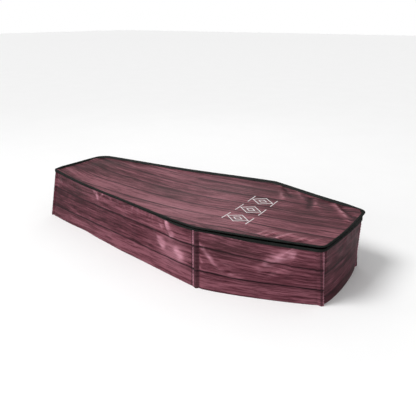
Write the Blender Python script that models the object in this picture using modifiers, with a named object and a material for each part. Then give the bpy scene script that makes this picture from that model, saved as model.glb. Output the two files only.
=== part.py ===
"""A five-foot coffin of printed cloth that stands on loose corner rods and folds away flat.

The lid is a cloth stretched on a wire hoop. It rests on the rim of a box of cloth panels, whose
own wire hoop is held up by six rods in sleeves at the corners. X runs from the foot to the head,
Y across, Z up, in metres. Right is the -Y side, left the +Y side.
"""
import functools
import math
from typing import NamedTuple

import bmesh
import bpy
from mathutils import Matrix, Vector

# The outline of the lid, measured between the outer faces of its binding
LID_LENGTH = 1.524
FOOT_WIDTH = 0.327
SHOULDER_WIDTH = 0.658
HEAD_WIDTH = 0.414
SHOULDER_FROM_FOOT = 1.049
HEIGHT = 0.255
HEAD_BOW = 0.007

# How far the corners are pulled out of true, and how much further out the foot's left one stands
FOOT_PULL = 0.005
FOOT_LEFT_FURTHER = 0.013
HEAD_RIGHT_PULL = 0.006
HEAD_LEFT_PULL = 0.010

# Radii of the bends at the corners
FOOT_RIGHT_BEND = 0.009
FOOT_LEFT_BEND = 0.075
SHOULDER_BEND = 0.075
HEAD_BEND = 0.040
SMALLEST_BEND = 0.002

# Cloth, wire and the tape that binds them, and the clearance between touching pieces
CLOTH = 0.002
WIRE_RADIUS = 0.002
WIRE_RESOLUTION = 2
TAPE = 0.0012
GAP = 0.0003
CLOTH_FROM_WIRE = 0.0025
CLOTH_CLEARANCE = 0.0004
LID_TAPE_MOUTH = 0.0045
RIM_TAPE_MOUTH = 0.0050

# Rods and their sleeves: a round channel between two flat arms that reach along the panels
ROD_RADIUS = 0.0045
ROD_SIDES = 12
ROD_LIFT = 0.0015
ROD_BELOW_TAPE = 0.0016
HEAD_ROD_INSETS = {"head_right": 0.026, "head_left": 0.040}
SLEEVE_RADIUS = 0.007
SLEEVE_BORE = 0.005
SLEEVE_ARM = 0.013
LEFT_TOP_ARMS = {"foot_left": 0.026}
SLEEVE_TAPER = math.radians(27)
SLEEVE_FACE = math.radians(27)

# How far the rods' feet stand from their tops: towards the head and outwards
FOOT_RIGHT_LEAN = (-0.028, 0.036)
FOOT_LEFT_LEAN = (-0.033, 0.036)
SHOULDER_LEAN = (0.019, 0.029)
HEAD_RIGHT_LEAN = (0.014, -0.015)
HEAD_LEFT_LEAN = (0.0143, 0.0099)

# How far the panels stand out along the ground, and where the side panels are pushed in
HEAD_PANEL_BULGE = 0.020
HEAD_PANEL_FULLNESS = 0.6
HEAD_PANEL_SKEW = 0.85
SIDE_PANEL_BULGE = 0.0065
SIDE_PANEL_FULLNESS = 0.35
SIDE_PANEL_DENT = 0.0065
SIDE_DENT_AT = 0.28
SIDE_DENT_SPREAD = 0.075
SIDE_PANEL_SWELL = 0.003
SIDE_SWELL_AT = 0.57
SIDE_SWELL_SPREAD = 0.08
SHOULDER_PANEL_BULGE = 0.0155
SHOULDER_PANEL_FULLNESS = 0.6
SHOULDER_PANEL_SKEW = 0.8
BULGE_FADE = 1.5

# The swag in the shoulder panels: height of its crest, its spread and its swell
SWAG_LOW = 0.30
SWAG_LOWEST_AT = 0.42
SWAG_CURL = 2.6
SWAG_SPREAD = 0.13
SWAG_SWELL = 0.007
SWAG_END = 6.0

# How far the lid's cloth sinks between the hoop's long sides, and how gently it starts to
LID_DISH = 0.010
LID_DISH_EASE = 1.5
LID_ACROSS = 10

FLOOR_THICKNESS = 0.003
CUTTER_HEIGHT = 0.02

# Finest distances: places on a ring that count as one, points that count as one, thin columns
SAME_PLACE = 0.000001
SAME_POINT = 0.0001
THIN_COLUMN = 0.01
WIDE_COLUMN = 0.05
WIDEST_COLUMN = 0.12
SEARCH_STEPS = 30

# The middle of the coffin's length, from the foot's leaning sleeves to the bulge of the head
MIDDLE_X = 0.7546

PLUM = (0.23, 0.075, 0.10, 1.0)
DARK_PLUM = (0.12, 0.04, 0.055, 1.0)
BLACK = (0.012, 0.013, 0.013, 1.0)
STEEL = (0.55, 0.55, 0.56, 1.0)
GREY_RESIN = (0.30, 0.30, 0.29, 1.0)


class Corner(NamedTuple):
    """A corner of the lid's outline, the radius of its bend and the bend's even number of steps."""
    name: str
    x: float
    y: float
    bend: float
    steps: int


class Panel(NamedTuple):
    """A wall of the box, with the steps of the rim along it and its rows of faces."""
    name: str
    kind: str
    steps: int
    rows: int


class Station(NamedTuple):
    """The hoops at one place: the lid's sag, the rim's drop below it and the rim's inset."""
    sag: float
    drop: float
    inset: float


# Seen from above against the clock, each panel runs from its own corner to the next
CORNERS = [
    Corner("foot_right", -FOOT_PULL, -FOOT_WIDTH / 2, FOOT_RIGHT_BEND, 4),
    Corner("shoulder_right", SHOULDER_FROM_FOOT, -SHOULDER_WIDTH / 2, SHOULDER_BEND, 2),
    Corner("head_right", LID_LENGTH + HEAD_RIGHT_PULL, -HEAD_WIDTH / 2, HEAD_BEND, 4),
    Corner("head_left", LID_LENGTH + HEAD_LEFT_PULL, HEAD_WIDTH / 2 + HEAD_LEFT_PULL, HEAD_BEND, 4),
    Corner("shoulder_left", SHOULDER_FROM_FOOT, SHOULDER_WIDTH / 2, SHOULDER_BEND, 2),
    Corner("foot_left", -FOOT_PULL, FOOT_WIDTH / 2 + FOOT_LEFT_FURTHER, FOOT_LEFT_BEND, 4),
]
PANELS = [
    Panel("side_panel_right", "side", 6, 6),
    Panel("shoulder_panel_right", "shoulder", 4, 9),
    Panel("head_panel", "head", 4, 7),
    Panel("shoulder_panel_left", "shoulder", 4, 9),
    Panel("side_panel_left", "side", 6, 6),
    Panel("foot_panel", "foot", 2, 5),
]
SIDES = len(CORNERS)

# The hoops at each corner, and at the middle of the panel that follows it
AT_CORNERS = [
    Station(0.000, 0.003, 0.008), Station(0.003, 0.007, 0.011), Station(0.000, 0.0125, 0.008),
    Station(0.000, 0.0265, 0.011), Station(0.000, 0.004, 0.011), Station(0.003, 0.003, 0.008),
]
AT_MIDDLES = [
    Station(0.0155, 0.002, 0.012), Station(0.0035, 0.014, 0.010), Station(0.000, 0.015, 0.008),
    Station(0.002, 0.012, 0.010), Station(0.007, 0.002, 0.012), Station(0.0015, 0.003, 0.008),
]

# The hoops' sag at places along the right side, and where the rim drops once more near the shoulder
RIGHT_SAG = [
    (0.00, 0.0000), (0.08, 0.0070), (0.16, 0.0130), (0.28, 0.0158), (0.45, 0.0157),
    (0.60, 0.0138), (0.78, 0.0122), (0.88, 0.0098), (0.95, 0.0062), (1.00, 0.0030),
]
LATE_DROP = 0.006
LATE_DROP_AT = 0.90
LATE_DROP_SPREAD = 0.06

# Half the height of a bound edge, and how far the rim's wire lies below the lid's when they touch
BAND_HALF = WIRE_RADIUS + GAP + TAPE
RIM_BELOW_LID = BAND_HALF + CLOTH / 2 + 2 * GAP


def clear_scene():
    """Remove every object that the scene holds."""
    for thing in list(bpy.data.objects):
        bpy.data.objects.remove(thing, do_unlink=True)


def finish_material(name, colour, roughness, metallic=0.0):
    """A plain material of one colour."""
    material = bpy.data.materials.new(name)
    material.use_nodes = True
    shader = material.node_tree.nodes["Principled BSDF"]
    shader.inputs["Base Color"].default_value = colour
    shader.inputs["Roughness"].default_value = roughness
    shader.inputs["Metallic"].default_value = metallic
    return material


def add_object(name, data, collection, material, smooth_angle=math.radians(40)):
    """Put a mesh or a curve in the scene with its own material."""
    thing = bpy.data.objects.new(name, data)
    data.materials.append(material)
    collection.objects.link(thing)
    if isinstance(data, bpy.types.Mesh):
        data.shade_smooth()
        data.set_sharp_from_angle(angle=smooth_angle)
    return thing


def add_guide(name, data, guides):
    """Put a form in the scene that only shapes others."""
    guide = bpy.data.objects.new(name, data)
    guide.hide_render = True
    guide.display_type = "WIRE"
    guides.objects.link(guide)
    return guide


def mesh_of(build):
    """A mesh from a filled bmesh, with its faces turned outwards."""
    bmesh.ops.recalc_face_normals(build, faces=build.faces)
    mesh = bpy.data.meshes.new("form")
    build.to_mesh(mesh)
    build.free()
    return mesh


def flat_loop(curve, points):
    """Add a closed loop of flat points to a curve."""
    spline = curve.splines.new("POLY")
    spline.points.add(len(points) - 1)
    for slot, point in zip(spline.points, points):
        slot.co = (point[0], point[1], 0.0, 1.0)
    spline.use_cyclic_u = True


def corner_point(index):
    """A sharp corner of the lid's outline, seen from above."""
    corner = CORNERS[index % SIDES]
    return Vector((corner.x, corner.y))


def heading(index):
    """The direction of the panel that starts at a corner, seen from above."""
    return (corner_point(index + 1) - corner_point(index)).normalized()


def outward(direction):
    """The direction that points out of the coffin, for a way round it against the clock."""
    return Vector((direction.y, -direction.x))


def turn_at(index):
    """How far the outline turns at a corner."""
    return heading(index - 1).angle(heading(index))


def bisector(index):
    """The outward direction midway between the two panels at a corner."""
    return (outward(heading(index - 1)) + outward(heading(index))).normalized()


def inset_corner(index, inset):
    """A corner of the outline moved inwards, by the same distance from both of its edges."""
    return corner_point(index) - bisector(index) * (inset / math.cos(turn_at(index) / 2))


def ease(fraction):
    """A smooth run from 0 to 1."""
    return (1 - math.cos(math.pi * fraction)) / 2


def mound(place, middle, spread):
    """A soft mound of height 1 about a place."""
    return math.exp(-((place - middle) / spread) ** 2)


def through(place, stops):
    """The height at a place of a smooth line through given stops."""
    last = len(stops) - 1
    step = max(i for i in range(last) if i == 0 or stops[i][0] <= place)
    slopes = []
    for middle in (step, step + 1):
        before, after = stops[max(middle - 1, 0)], stops[min(middle + 1, last)]
        slopes.append((after[1] - before[1]) / (after[0] - before[0]))
    (start, low), (end, high) = stops[step], stops[step + 1]
    share = (place - start) / (end - start)
    rise = share ** 2 * (3 - 2 * share)
    bow = share * (1 - share) * (slopes[0] * (1 - share) - slopes[1] * share)
    return low + (high - low) * rise + (end - start) * bow


def hoops_at(place):
    """The station at a place round the coffin, where a corner is a whole number."""
    index = math.floor(place + SAME_PLACE)
    along = place - index
    corner = AT_CORNERS[index % SIDES]
    middle = AT_MIDDLES[index % SIDES]
    if along < 0.5:
        start, end, share = corner, middle, ease(along * 2)
    else:
        start, end, share = middle, AT_CORNERS[(index + 1) % SIDES], ease(along * 2 - 1)
    station = Station(*(a + (b - a) * share for a, b in zip(start, end)))
    drop = station.drop + LATE_DROP * mound(place, LATE_DROP_AT, LATE_DROP_SPREAD)
    sag = through(along, RIGHT_SAG) if index % SIDES == 0 else station.sag
    return Station(sag, drop, station.inset)


def outline(extra_inset, follow_rim):
    """Points round the coffin: for each its place, its X and its Y.

    A corner is bent round an arc, and the place of the arc's middle is the corner's number.
    """
    def inset_at(place):
        return extra_inset + (hoops_at(place).inset if follow_rim else 0.0)

    def bend_at(index):
        radius = max(CORNERS[index % SIDES].bend - inset_at(index), SMALLEST_BEND)
        return radius, inset_corner(index, inset_at(index) + radius)

    points = []
    middles = []
    for index, panel in enumerate(PANELS):
        radius, centre = bend_at(index)
        steps = CORNERS[index].steps
        first = outward(heading(index - 1))
        for step in range(steps + 1):
            if step * 2 == steps:
                middles.append(len(points))
            arm = Matrix.Rotation(turn_at(index) * step / steps, 2) @ first
            points.append(centre + arm * radius)
        side = outward(heading(index))
        next_radius, next_centre = bend_at(index + 1)
        start = points[-1]
        end = next_centre + side * next_radius
        for step in range(1, panel.steps):
            along = step / panel.steps
            straight_inset = inset_at(index) * (1 - along) + inset_at(index + 1) * along
            stand_out = straight_inset - inset_at(index + along)
            if panel.kind == "head":
                stand_out += HEAD_BOW * math.sin(math.pi * along)
            points.append(start.lerp(end, along) + side * stand_out)
    return with_places(points, middles)


def with_places(points, middles):
    """Number the points by their length round the coffin between the middles of two bends."""
    total = len(points)
    places = [0.0] * total
    for index, first in enumerate(middles):
        count = (middles[(index + 1) % SIDES] - first) % total
        lengths = [0.0]
        for step in range(count):
            here = points[(first + step) % total]
            there = points[(first + step + 1) % total]
            lengths.append(lengths[-1] + (there - here).length)
        for step in range(count):
            places[(first + step) % total] = index + lengths[step] / lengths[-1]
    return [(place, point.x, point.y) for place, point in zip(places, points)]


def lid_height(place):
    """The height of the middle of the lid's wire."""
    return HEIGHT - BAND_HALF - hoops_at(place).sag


def rim_height(place):
    """The height of the middle of the rim's wire."""
    return lid_height(place) - RIM_BELOW_LID - hoops_at(place).drop


@functools.cache
def ring(follow_rim):
    """The middle line of a hoop, lid or rim, as points in space with their places."""
    height = rim_height if follow_rim else lid_height
    inset = 0.0 if follow_rim else BAND_HALF
    return [(place, Vector((x - MIDDLE_X, y, height(place))))
            for place, x, y in outline(inset, follow_rim)]


@functools.cache
def rim_at(place):
    """A point of the rim's wire at a place, on the straight between two of its points."""
    rim = ring(True)
    for (here, point), (there, follow) in zip(rim, rim[1:] + rim[:1]):
        span = (there - here) % SIDES
        offset = (place - here) % SIDES
        if offset <= span + SAME_PLACE:
            return point.lerp(follow, offset / span)
    return rim[0][1]


def ring_curve(name, follow_rim):
    """A closed curve along the wire of a hoop."""
    points = [point for _, point in ring(follow_rim)]
    curve = bpy.data.curves.new(name, "CURVE")
    curve.dimensions = "3D"
    curve.twist_mode = "Z_UP"
    spline = curve.splines.new("POLY")
    spline.points.add(len(points) - 1)
    for slot, point in zip(spline.points, points):
        slot.co = (*point, 1.0)
    spline.use_cyclic_u = True
    return curve


def tape_section(name, mouth, quarter_turns, guides):
    """The outline of a folded tape round a wire, open to one side, as a flat closed curve."""
    cloth_way = CLOTH / 2 + CLOTH_CLEARANCE
    wire_way = WIRE_RADIUS + GAP
    nose = BAND_HALF - TAPE
    fold = [
        (-mouth, cloth_way + TAPE), (-nose, BAND_HALF), (nose, BAND_HALF), (BAND_HALF, nose),
        (BAND_HALF, -nose), (nose, -BAND_HALF), (-nose, -BAND_HALF), (-mouth, -cloth_way - TAPE),
    ]
    way = [
        (-mouth, -cloth_way), (-wire_way, -cloth_way), (-wire_way + GAP, -wire_way),
        (wire_way, -wire_way), (wire_way, wire_way), (-wire_way + GAP, wire_way),
        (-wire_way, cloth_way), (-mouth, cloth_way),
    ]
    turn = Matrix.Rotation(quarter_turns * math.pi / 2, 2)
    curve = bpy.data.curves.new(name, "CURVE")
    flat_loop(curve, [turn @ Vector(point) for point in fold + way])
    return add_guide(name, curve, guides)


def add_hoop(name, follow_rim, collection):
    """A bent wire, closed round the coffin."""
    curve = ring_curve(name, follow_rim)
    curve.bevel_depth = WIRE_RADIUS
    curve.bevel_resolution = WIRE_RESOLUTION
    return add_object(name, curve, collection, finish_material(name, STEEL, 0.35, 1.0))


def add_binding(name, follow_rim, mouth, quarter_turns, collection, guides):
    """The tape folded over a hoop and over the edge of the cloth that hangs on it."""
    curve = ring_curve(name, follow_rim)
    curve.bevel_mode = "OBJECT"
    curve.bevel_object = tape_section(name + "_section", mouth, quarter_turns, guides)
    return add_object(name, curve, collection, finish_material(name, BLACK, 0.75))


def solid_sheet(name, mesh, collection):
    """A cloth of even thickness about a surface."""
    thing = add_object(name, mesh, collection, finish_material(name, PLUM, 0.45))
    shell = thing.modifiers.new("thickness", "SOLIDIFY")
    shell.thickness = CLOTH
    shell.offset = 0.0
    shell.use_even_offset = True
    return thing


def lid_point(right, left, across, bow):
    """A point of the lid's cloth on the line between two places of its edge."""
    ahead = right[1] + (left[1] - right[1]) * across
    aside = right[2] + (left[2] - right[2]) * across
    right_sag = hoops_at(right[0]).sag
    sag = right_sag + (hoops_at(left[0]).sag - right_sag) * across
    margin = BAND_HALF + CLOTH_FROM_WIRE
    along = (ahead - margin) / (LID_LENGTH - 2 * margin)
    dish = LID_DISH * max(0.0, math.sin(math.pi * along)) * abs(math.sin(math.pi * across)) ** LID_DISH_EASE
    return Vector((ahead + bow * math.sin(math.pi * across) - MIDDLE_X, aside,
                   HEIGHT - BAND_HALF - sag - dish))


def add_lid_cloth(collection):
    """The lid's cloth: lines across it from the foot to the head, which sink to its middle."""
    edge = outline(BAND_HALF + CLOTH_FROM_WIRE, False)
    count = sum(corner.steps + 1 for corner in CORNERS[:3])
    count += sum(panel.steps - 1 for panel in PANELS[:2])
    rights = edge[:count]
    lefts = edge[count + PANELS[2].steps - 1:][:count][::-1]
    build = bmesh.new()
    bmesh.ops.create_grid(build, x_segments=count - 1, y_segments=LID_ACROSS, size=0.5)
    for vertex in build.verts:
        line = round((vertex.co.x + 0.5) * (count - 1))
        bow = HEAD_BOW if line == count - 1 else 0.0
        vertex.co = lid_point(rights[line], lefts[line], vertex.co.y + 0.5, bow)
    return solid_sheet("lid_cloth", mesh_of(build), collection)


@functools.cache
def rod_top(index):
    """The middle of the top of a corner's rod, below the mouth of the rim's binding."""
    name = CORNERS[index].name
    point = rim_at(index).to_2d()
    if name in HEAD_ROD_INSETS:
        point = corner_point(index) - Vector((MIDDLE_X, 0)) - bisector(index) * HEAD_ROD_INSETS[name]
    return Vector((*point, rim_height(index) - RIM_TAPE_MOUTH - ROD_BELOW_TAPE))


@functools.cache
def rod_foot(index):
    """The middle of the bottom of a corner's rod, at the height of the ground."""
    leans = {"foot_right": FOOT_RIGHT_LEAN, "foot_left": FOOT_LEFT_LEAN,
             "shoulder_right": SHOULDER_LEAN, "shoulder_left": SHOULDER_LEAN,
             "head_right": HEAD_RIGHT_LEAN, "head_left": HEAD_LEFT_LEAN}
    ahead, out = leans[CORNERS[index].name]
    top = rod_top(index)
    return Vector((top.x + ahead, top.y + math.copysign(out, out * top.y), 0.0))


def add_rod(index, collection):
    """A straight rod that leans as its corner does."""
    name = "corner_rod_" + CORNERS[index].name
    top = rod_top(index)
    foot = rod_foot(index)
    axis = (top - foot).normalized()
    tilt = ROD_RADIUS * math.tan(axis.angle(Vector((0, 0, 1))))
    start = foot + axis * (ROD_LIFT / axis.z + tilt)
    end = top - axis * tilt
    build = bmesh.new()
    bmesh.ops.create_cone(build, cap_ends=True, segments=ROD_SIDES, radius1=ROD_RADIUS,
                          radius2=ROD_RADIUS, depth=(end - start).length)
    rod = add_object(name, mesh_of(build), collection, finish_material(name, GREY_RESIN, 0.4))
    rod.location = (start + end) / 2
    rod.rotation_mode = "QUATERNION"
    rod.rotation_quaternion = Vector((0, 0, 1)).rotation_difference(axis)
    return rod


def swag(along, up):
    """The swell of the fold that hangs between the two top corners of a shoulder panel."""
    crest = SWAG_LOW + SWAG_CURL * (along - SWAG_LOWEST_AT) ** 2
    fade = math.sin(math.pi * up) * min(1.0, SWAG_END * along, SWAG_END * (1 - along))
    return SWAG_SWELL * fade * math.exp(-((up - crest) / SWAG_SPREAD) ** 2)


def arch(along, skew, fullness):
    """A rise from one edge of a panel and a fall to the other."""
    return max(0.0, math.sin(math.pi * along ** skew)) ** fullness


def panel_bulge(kind, along, up):
    """How far a panel stands out from the straight surface between its edges."""
    low = (1 - up) ** BULGE_FADE
    if kind == "head":
        return HEAD_PANEL_BULGE * arch(along, HEAD_PANEL_SKEW, HEAD_PANEL_FULLNESS) * low
    if kind == "side":
        bulge = SIDE_PANEL_BULGE * arch(along, 1, SIDE_PANEL_FULLNESS)
        bulge -= SIDE_PANEL_DENT * mound(along, SIDE_DENT_AT, SIDE_DENT_SPREAD)
        bulge += SIDE_PANEL_SWELL * mound(along, SIDE_SWELL_AT, SIDE_SWELL_SPREAD)
        return bulge * low
    if kind == "shoulder":
        bulge = SHOULDER_PANEL_BULGE * arch(along, SHOULDER_PANEL_SKEW, SHOULDER_PANEL_FULLNESS)
        return bulge * low + swag(along, up)
    return 0.0


def clear_share(index, backwards):
    """The share of a panel's length along the rim that a corner's sleeve takes up."""
    corner = (index + 1) % SIDES if backwards else index
    way = -heading(index) if backwards else heading(index)
    arm = LEFT_TOP_ARMS.get(CORNERS[corner].name, SLEEVE_ARM)
    near, far = 0.0, 0.5
    for _ in range(SEARCH_STEPS):
        share = (near + far) / 2
        spot = rim_at(index + 1 - share if backwards else index + share)
        if (spot - rod_top(corner)).to_2d().dot(way) < arm + 2 * GAP:
            near = share
        else:
            far = share
    return far


@functools.cache
def panel_columns(index):
    """The columns of a panel: for each its place along the rim and its share of the ground.

    They are the rim's own points and some between them, clear of the two sleeves.
    """
    start = clear_share(index, False)
    end = 1 - clear_share(index, True)
    inner = sorted((place - index) % SIDES for place, _ in ring(True))
    stops = [start] + [along for along in inner if start + THIN_COLUMN < along < end - THIN_COLUMN]
    columns = []
    for here, there in zip(stops, stops[1:] + [end]):
        parts = 1 + (there - here > WIDE_COLUMN) + (there - here > WIDEST_COLUMN)
        columns += [here + (there - here) * part / parts for part in range(parts)]
    return [(index + column, (column - start) / (end - start)) for column in columns + [end]]


def ground_point(index, along, up, inset=0.0):
    """A point of the line on the ground below a place of a panel, moved out by the bulge there."""
    start = rod_foot(index)
    run = rod_foot((index + 1) % SIDES) - start
    clear = (SLEEVE_ARM + 2 * GAP) / run.length
    mirrored = PANELS[index].name.endswith("left")
    bulge = panel_bulge(PANELS[index].kind, 1 - along if mirrored else along, up) - inset
    side = outward(run.to_2d().normalized()) * bulge
    return start + run * (clear + (1 - 2 * clear) * along) + Vector((side.x, side.y, 0.0))


def panel_point(index, place, along, up):
    """A point of a panel, from the ground up to the rods' tops; past 1 it is inside the rim's binding."""
    if up > 1:
        return rim_at(place) - Vector((0, 0, CLOTH_FROM_WIRE))
    straight_foot = ground_point(index, along, 1.0)
    bulge = ground_point(index, along, up) - straight_foot
    foot = straight_foot + Vector((0, 0, GAP))
    return foot.lerp(rim_at(place) - Vector((0, 0, RIM_TAPE_MOUTH + 2 * GAP)), up) + bulge


def add_panel(index, collection):
    """One wall of the box."""
    panel = PANELS[index]
    columns = panel_columns(index)
    build = bmesh.new()
    bmesh.ops.create_grid(build, x_segments=len(columns) - 1, y_segments=panel.rows + 1, size=0.5)
    for vertex in build.verts:
        place, along = columns[round((vertex.co.x + 0.5) * (len(columns) - 1))]
        row = round((vertex.co.y + 0.5) * (panel.rows + 1))
        vertex.co = panel_point(index, place, along, row / panel.rows)
    return solid_sheet(panel.name, mesh_of(build), collection)


def sleeve_outline(index, grow, high):
    """The section of a sleeve about its rod, seen from above, on the ground or at the rod's top."""
    before = heading(index - 1)
    after = heading(index)
    rod = rod_top(index) if high else rod_foot(index)
    previous = (index - 1) % SIDES
    place_before, along_before = panel_columns(previous)[-1]
    place_after, along_after = panel_columns(index)[0]
    edge_before = rim_at(place_before) if high else ground_point(previous, along_before, 0.0)
    edge_after = rim_at(place_after) if high else ground_point(index, along_after, 0.0)
    end_before = (edge_before - rod).to_2d() + before * (2 * GAP - grow)
    end_after = (edge_after - rod).to_2d() - after * (2 * GAP - grow)
    half = CLOTH / 2 + grow
    radius = SLEEVE_RADIUS + grow
    first = outward(before)
    last = outward(after)
    swing = turn_at(index) + 2 * SLEEVE_TAPER
    steps = round(swing / SLEEVE_FACE)
    round_side = [Matrix.Rotation(swing * step / steps - SLEEVE_TAPER, 2) @ first * radius
                  for step in range(steps + 1)]
    return [end_before + first * half, *round_side, end_after + last * half,
            end_after - last * half, -bisector(index) * (radius + GAP), end_before - first * half]


def sleeve_mesh(index, grow, with_bore, height):
    """A sleeve that leans with its rod and whose arms meet the panels all the way up."""
    low = sleeve_outline(index, grow, False)
    high = sleeve_outline(index, grow, True)
    curve = bpy.data.curves.new("sleeve", "CURVE")
    curve.dimensions = "2D"
    curve.fill_mode = "BOTH"
    curve.extrude = height / 2
    flat_loop(curve, low)
    if with_bore:
        flat_loop(curve, [Matrix.Rotation(2 * math.pi * step / ROD_SIDES, 2) @ Vector((SLEEVE_BORE, 0))
                          for step in range(ROD_SIDES)])
    flat = bpy.data.objects.new("sleeve", curve)
    bpy.context.scene.collection.objects.link(flat)
    evaluated = flat.evaluated_get(bpy.context.evaluated_depsgraph_get())
    build = bmesh.new()
    build.from_mesh(bpy.data.meshes.new_from_object(evaluated))
    bpy.data.objects.remove(flat, do_unlink=True)
    bmesh.ops.remove_doubles(build, verts=build.verts, dist=SAME_POINT)
    foot = rod_foot(index)
    top = rod_top(index)
    for vertex in build.verts:
        up = (vertex.co.z + height / 2) / top.z
        point = vertex.co.to_2d()
        for here, there in zip(low, high):
            if (here - point).length < SAME_POINT:
                point = here.lerp(there, up)
                break
        vertex.co = foot.lerp(top, up) + Vector((point.x, point.y, 0.0))
    fill_top_again(build, top.z)
    return mesh_of(build)


def fill_top_again(build, height):
    """Fill a flat top anew, since it was filled for the outline at the bottom."""
    cap = [face for face in build.faces if all(vertex.co.z > height - SAME_POINT for vertex in face.verts)]
    bmesh.ops.delete(build, geom=cap, context="FACES")
    rims = [edge for edge in build.edges if edge.is_boundary]
    bmesh.ops.triangle_fill(build, use_beauty=True, use_dissolve=False, edges=rims, normal=(0, 0, 1))


def add_sleeve(index, collection):
    """The folded strip of cloth at a corner, with a channel for the rod."""
    name = "corner_sleeve_" + CORNERS[index].name
    mesh = sleeve_mesh(index, 0.0, True, rod_top(index).z)
    return add_object(name, mesh, collection, finish_material(name, PLUM, 0.45))


def add_floor(collection, guides):
    """The cloth floor inside the panels, cut round the sleeves."""
    build = bmesh.new()
    loop = [build.verts.new(ground_point(index, along, 0.0, CLOTH / 2 + 3 * GAP))
            for index in range(SIDES) for _, along in panel_columns(index)]
    raised = bmesh.ops.extrude_face_region(build, geom=[build.faces.new(loop)])
    lifted = [item for item in raised["geom"] if isinstance(item, bmesh.types.BMVert)]
    bmesh.ops.translate(build, verts=lifted, vec=(0, 0, FLOOR_THICKNESS))
    material = finish_material("floor_cloth", DARK_PLUM, 0.7)
    floor = add_object("floor_cloth", mesh_of(build), collection, material)
    for index, corner in enumerate(CORNERS):
        mesh = sleeve_mesh(index, 2 * GAP, False, CUTTER_HEIGHT)
        mesh.transform(Matrix.Translation((0, 0, -CUTTER_HEIGHT / 2)))
        cutter = add_guide("cut_" + corner.name, mesh, guides)
        cut = floor.modifiers.new(cutter.name, "BOOLEAN")
        cut.operation = "DIFFERENCE"
        cut.solver = "EXACT"
        cut.object = cutter
    return floor


def main():
    """Build the coffin."""
    clear_scene()
    coffin = bpy.data.collections.new("collapsible_coffin")
    guides = bpy.data.collections.new("guides")
    bpy.context.scene.collection.children.link(coffin)
    bpy.context.scene.collection.children.link(guides)
    add_lid_cloth(coffin)
    add_hoop("lid_hoop", False, coffin)
    add_binding("lid_binding", False, LID_TAPE_MOUTH, 0, coffin, guides)
    add_hoop("rim_hoop", True, coffin)
    add_binding("rim_binding", True, RIM_TAPE_MOUTH, 1, coffin, guides)
    for index in range(SIDES):
        add_panel(index, coffin)
        add_sleeve(index, coffin)
        add_rod(index, coffin)
    add_floor(coffin, guides)


main()
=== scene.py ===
"""Looks for a folding coffin of printed cloth: a hooped lid, six walls, corner sleeves and a floor.

X runs from the foot to the head, Y to the coffin's left, Z up, in metres. Right is the -Y side.
"""

import bisect
import logging
import math
from collections.abc import Callable, Sequence
from dataclasses import dataclass, field, replace
from enum import Enum

import bmesh
import bpy
from mathutils import Matrix, Vector, noise


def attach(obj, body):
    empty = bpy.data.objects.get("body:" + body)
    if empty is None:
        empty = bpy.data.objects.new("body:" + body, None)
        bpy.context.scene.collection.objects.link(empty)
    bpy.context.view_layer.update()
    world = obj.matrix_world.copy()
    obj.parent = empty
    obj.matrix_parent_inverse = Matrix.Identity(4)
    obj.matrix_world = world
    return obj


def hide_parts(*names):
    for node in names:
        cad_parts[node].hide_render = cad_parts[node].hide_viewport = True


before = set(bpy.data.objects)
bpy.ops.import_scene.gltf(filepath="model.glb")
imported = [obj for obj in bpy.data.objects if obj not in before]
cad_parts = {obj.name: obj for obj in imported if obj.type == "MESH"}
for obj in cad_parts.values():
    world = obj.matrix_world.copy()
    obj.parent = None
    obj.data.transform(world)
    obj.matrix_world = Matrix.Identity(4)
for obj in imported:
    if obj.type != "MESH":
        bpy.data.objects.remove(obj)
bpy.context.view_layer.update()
LOG = logging.getLogger("coffin")
Colour = tuple[float, float, float, float]
Pair = tuple[float, float]
Spot = tuple[float, float, float]
Socket = bpy.types.NodeSocket
Outputs = bpy.types.NodeOutputs
Material = bpy.types.Material
Mesh = bpy.types.Mesh
Piece = bpy.types.Object
UP = Vector((0.0, 0.0, 1.0))
GLOSSY_DIM = 0.24


class Kind(Enum):
    """The four kinds of wall."""
    SIDE = "side"
    SHOULDER = "shoulder"
    HEAD = "head"
    FOOT = "foot"


class Slot(Enum):
    """The record's material slots, by name."""
    PRINT = "printed_cloth"
    FLOOR = "floor_cloth"
    TAPE = "binding_tape"
    WIRE = "hoop_wire"


class Mouth(Enum):
    """Which way a folded tape opens, in quarter turns from inwards."""
    INWARDS = 0
    DOWNWARDS = 1


# Nodes

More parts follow.
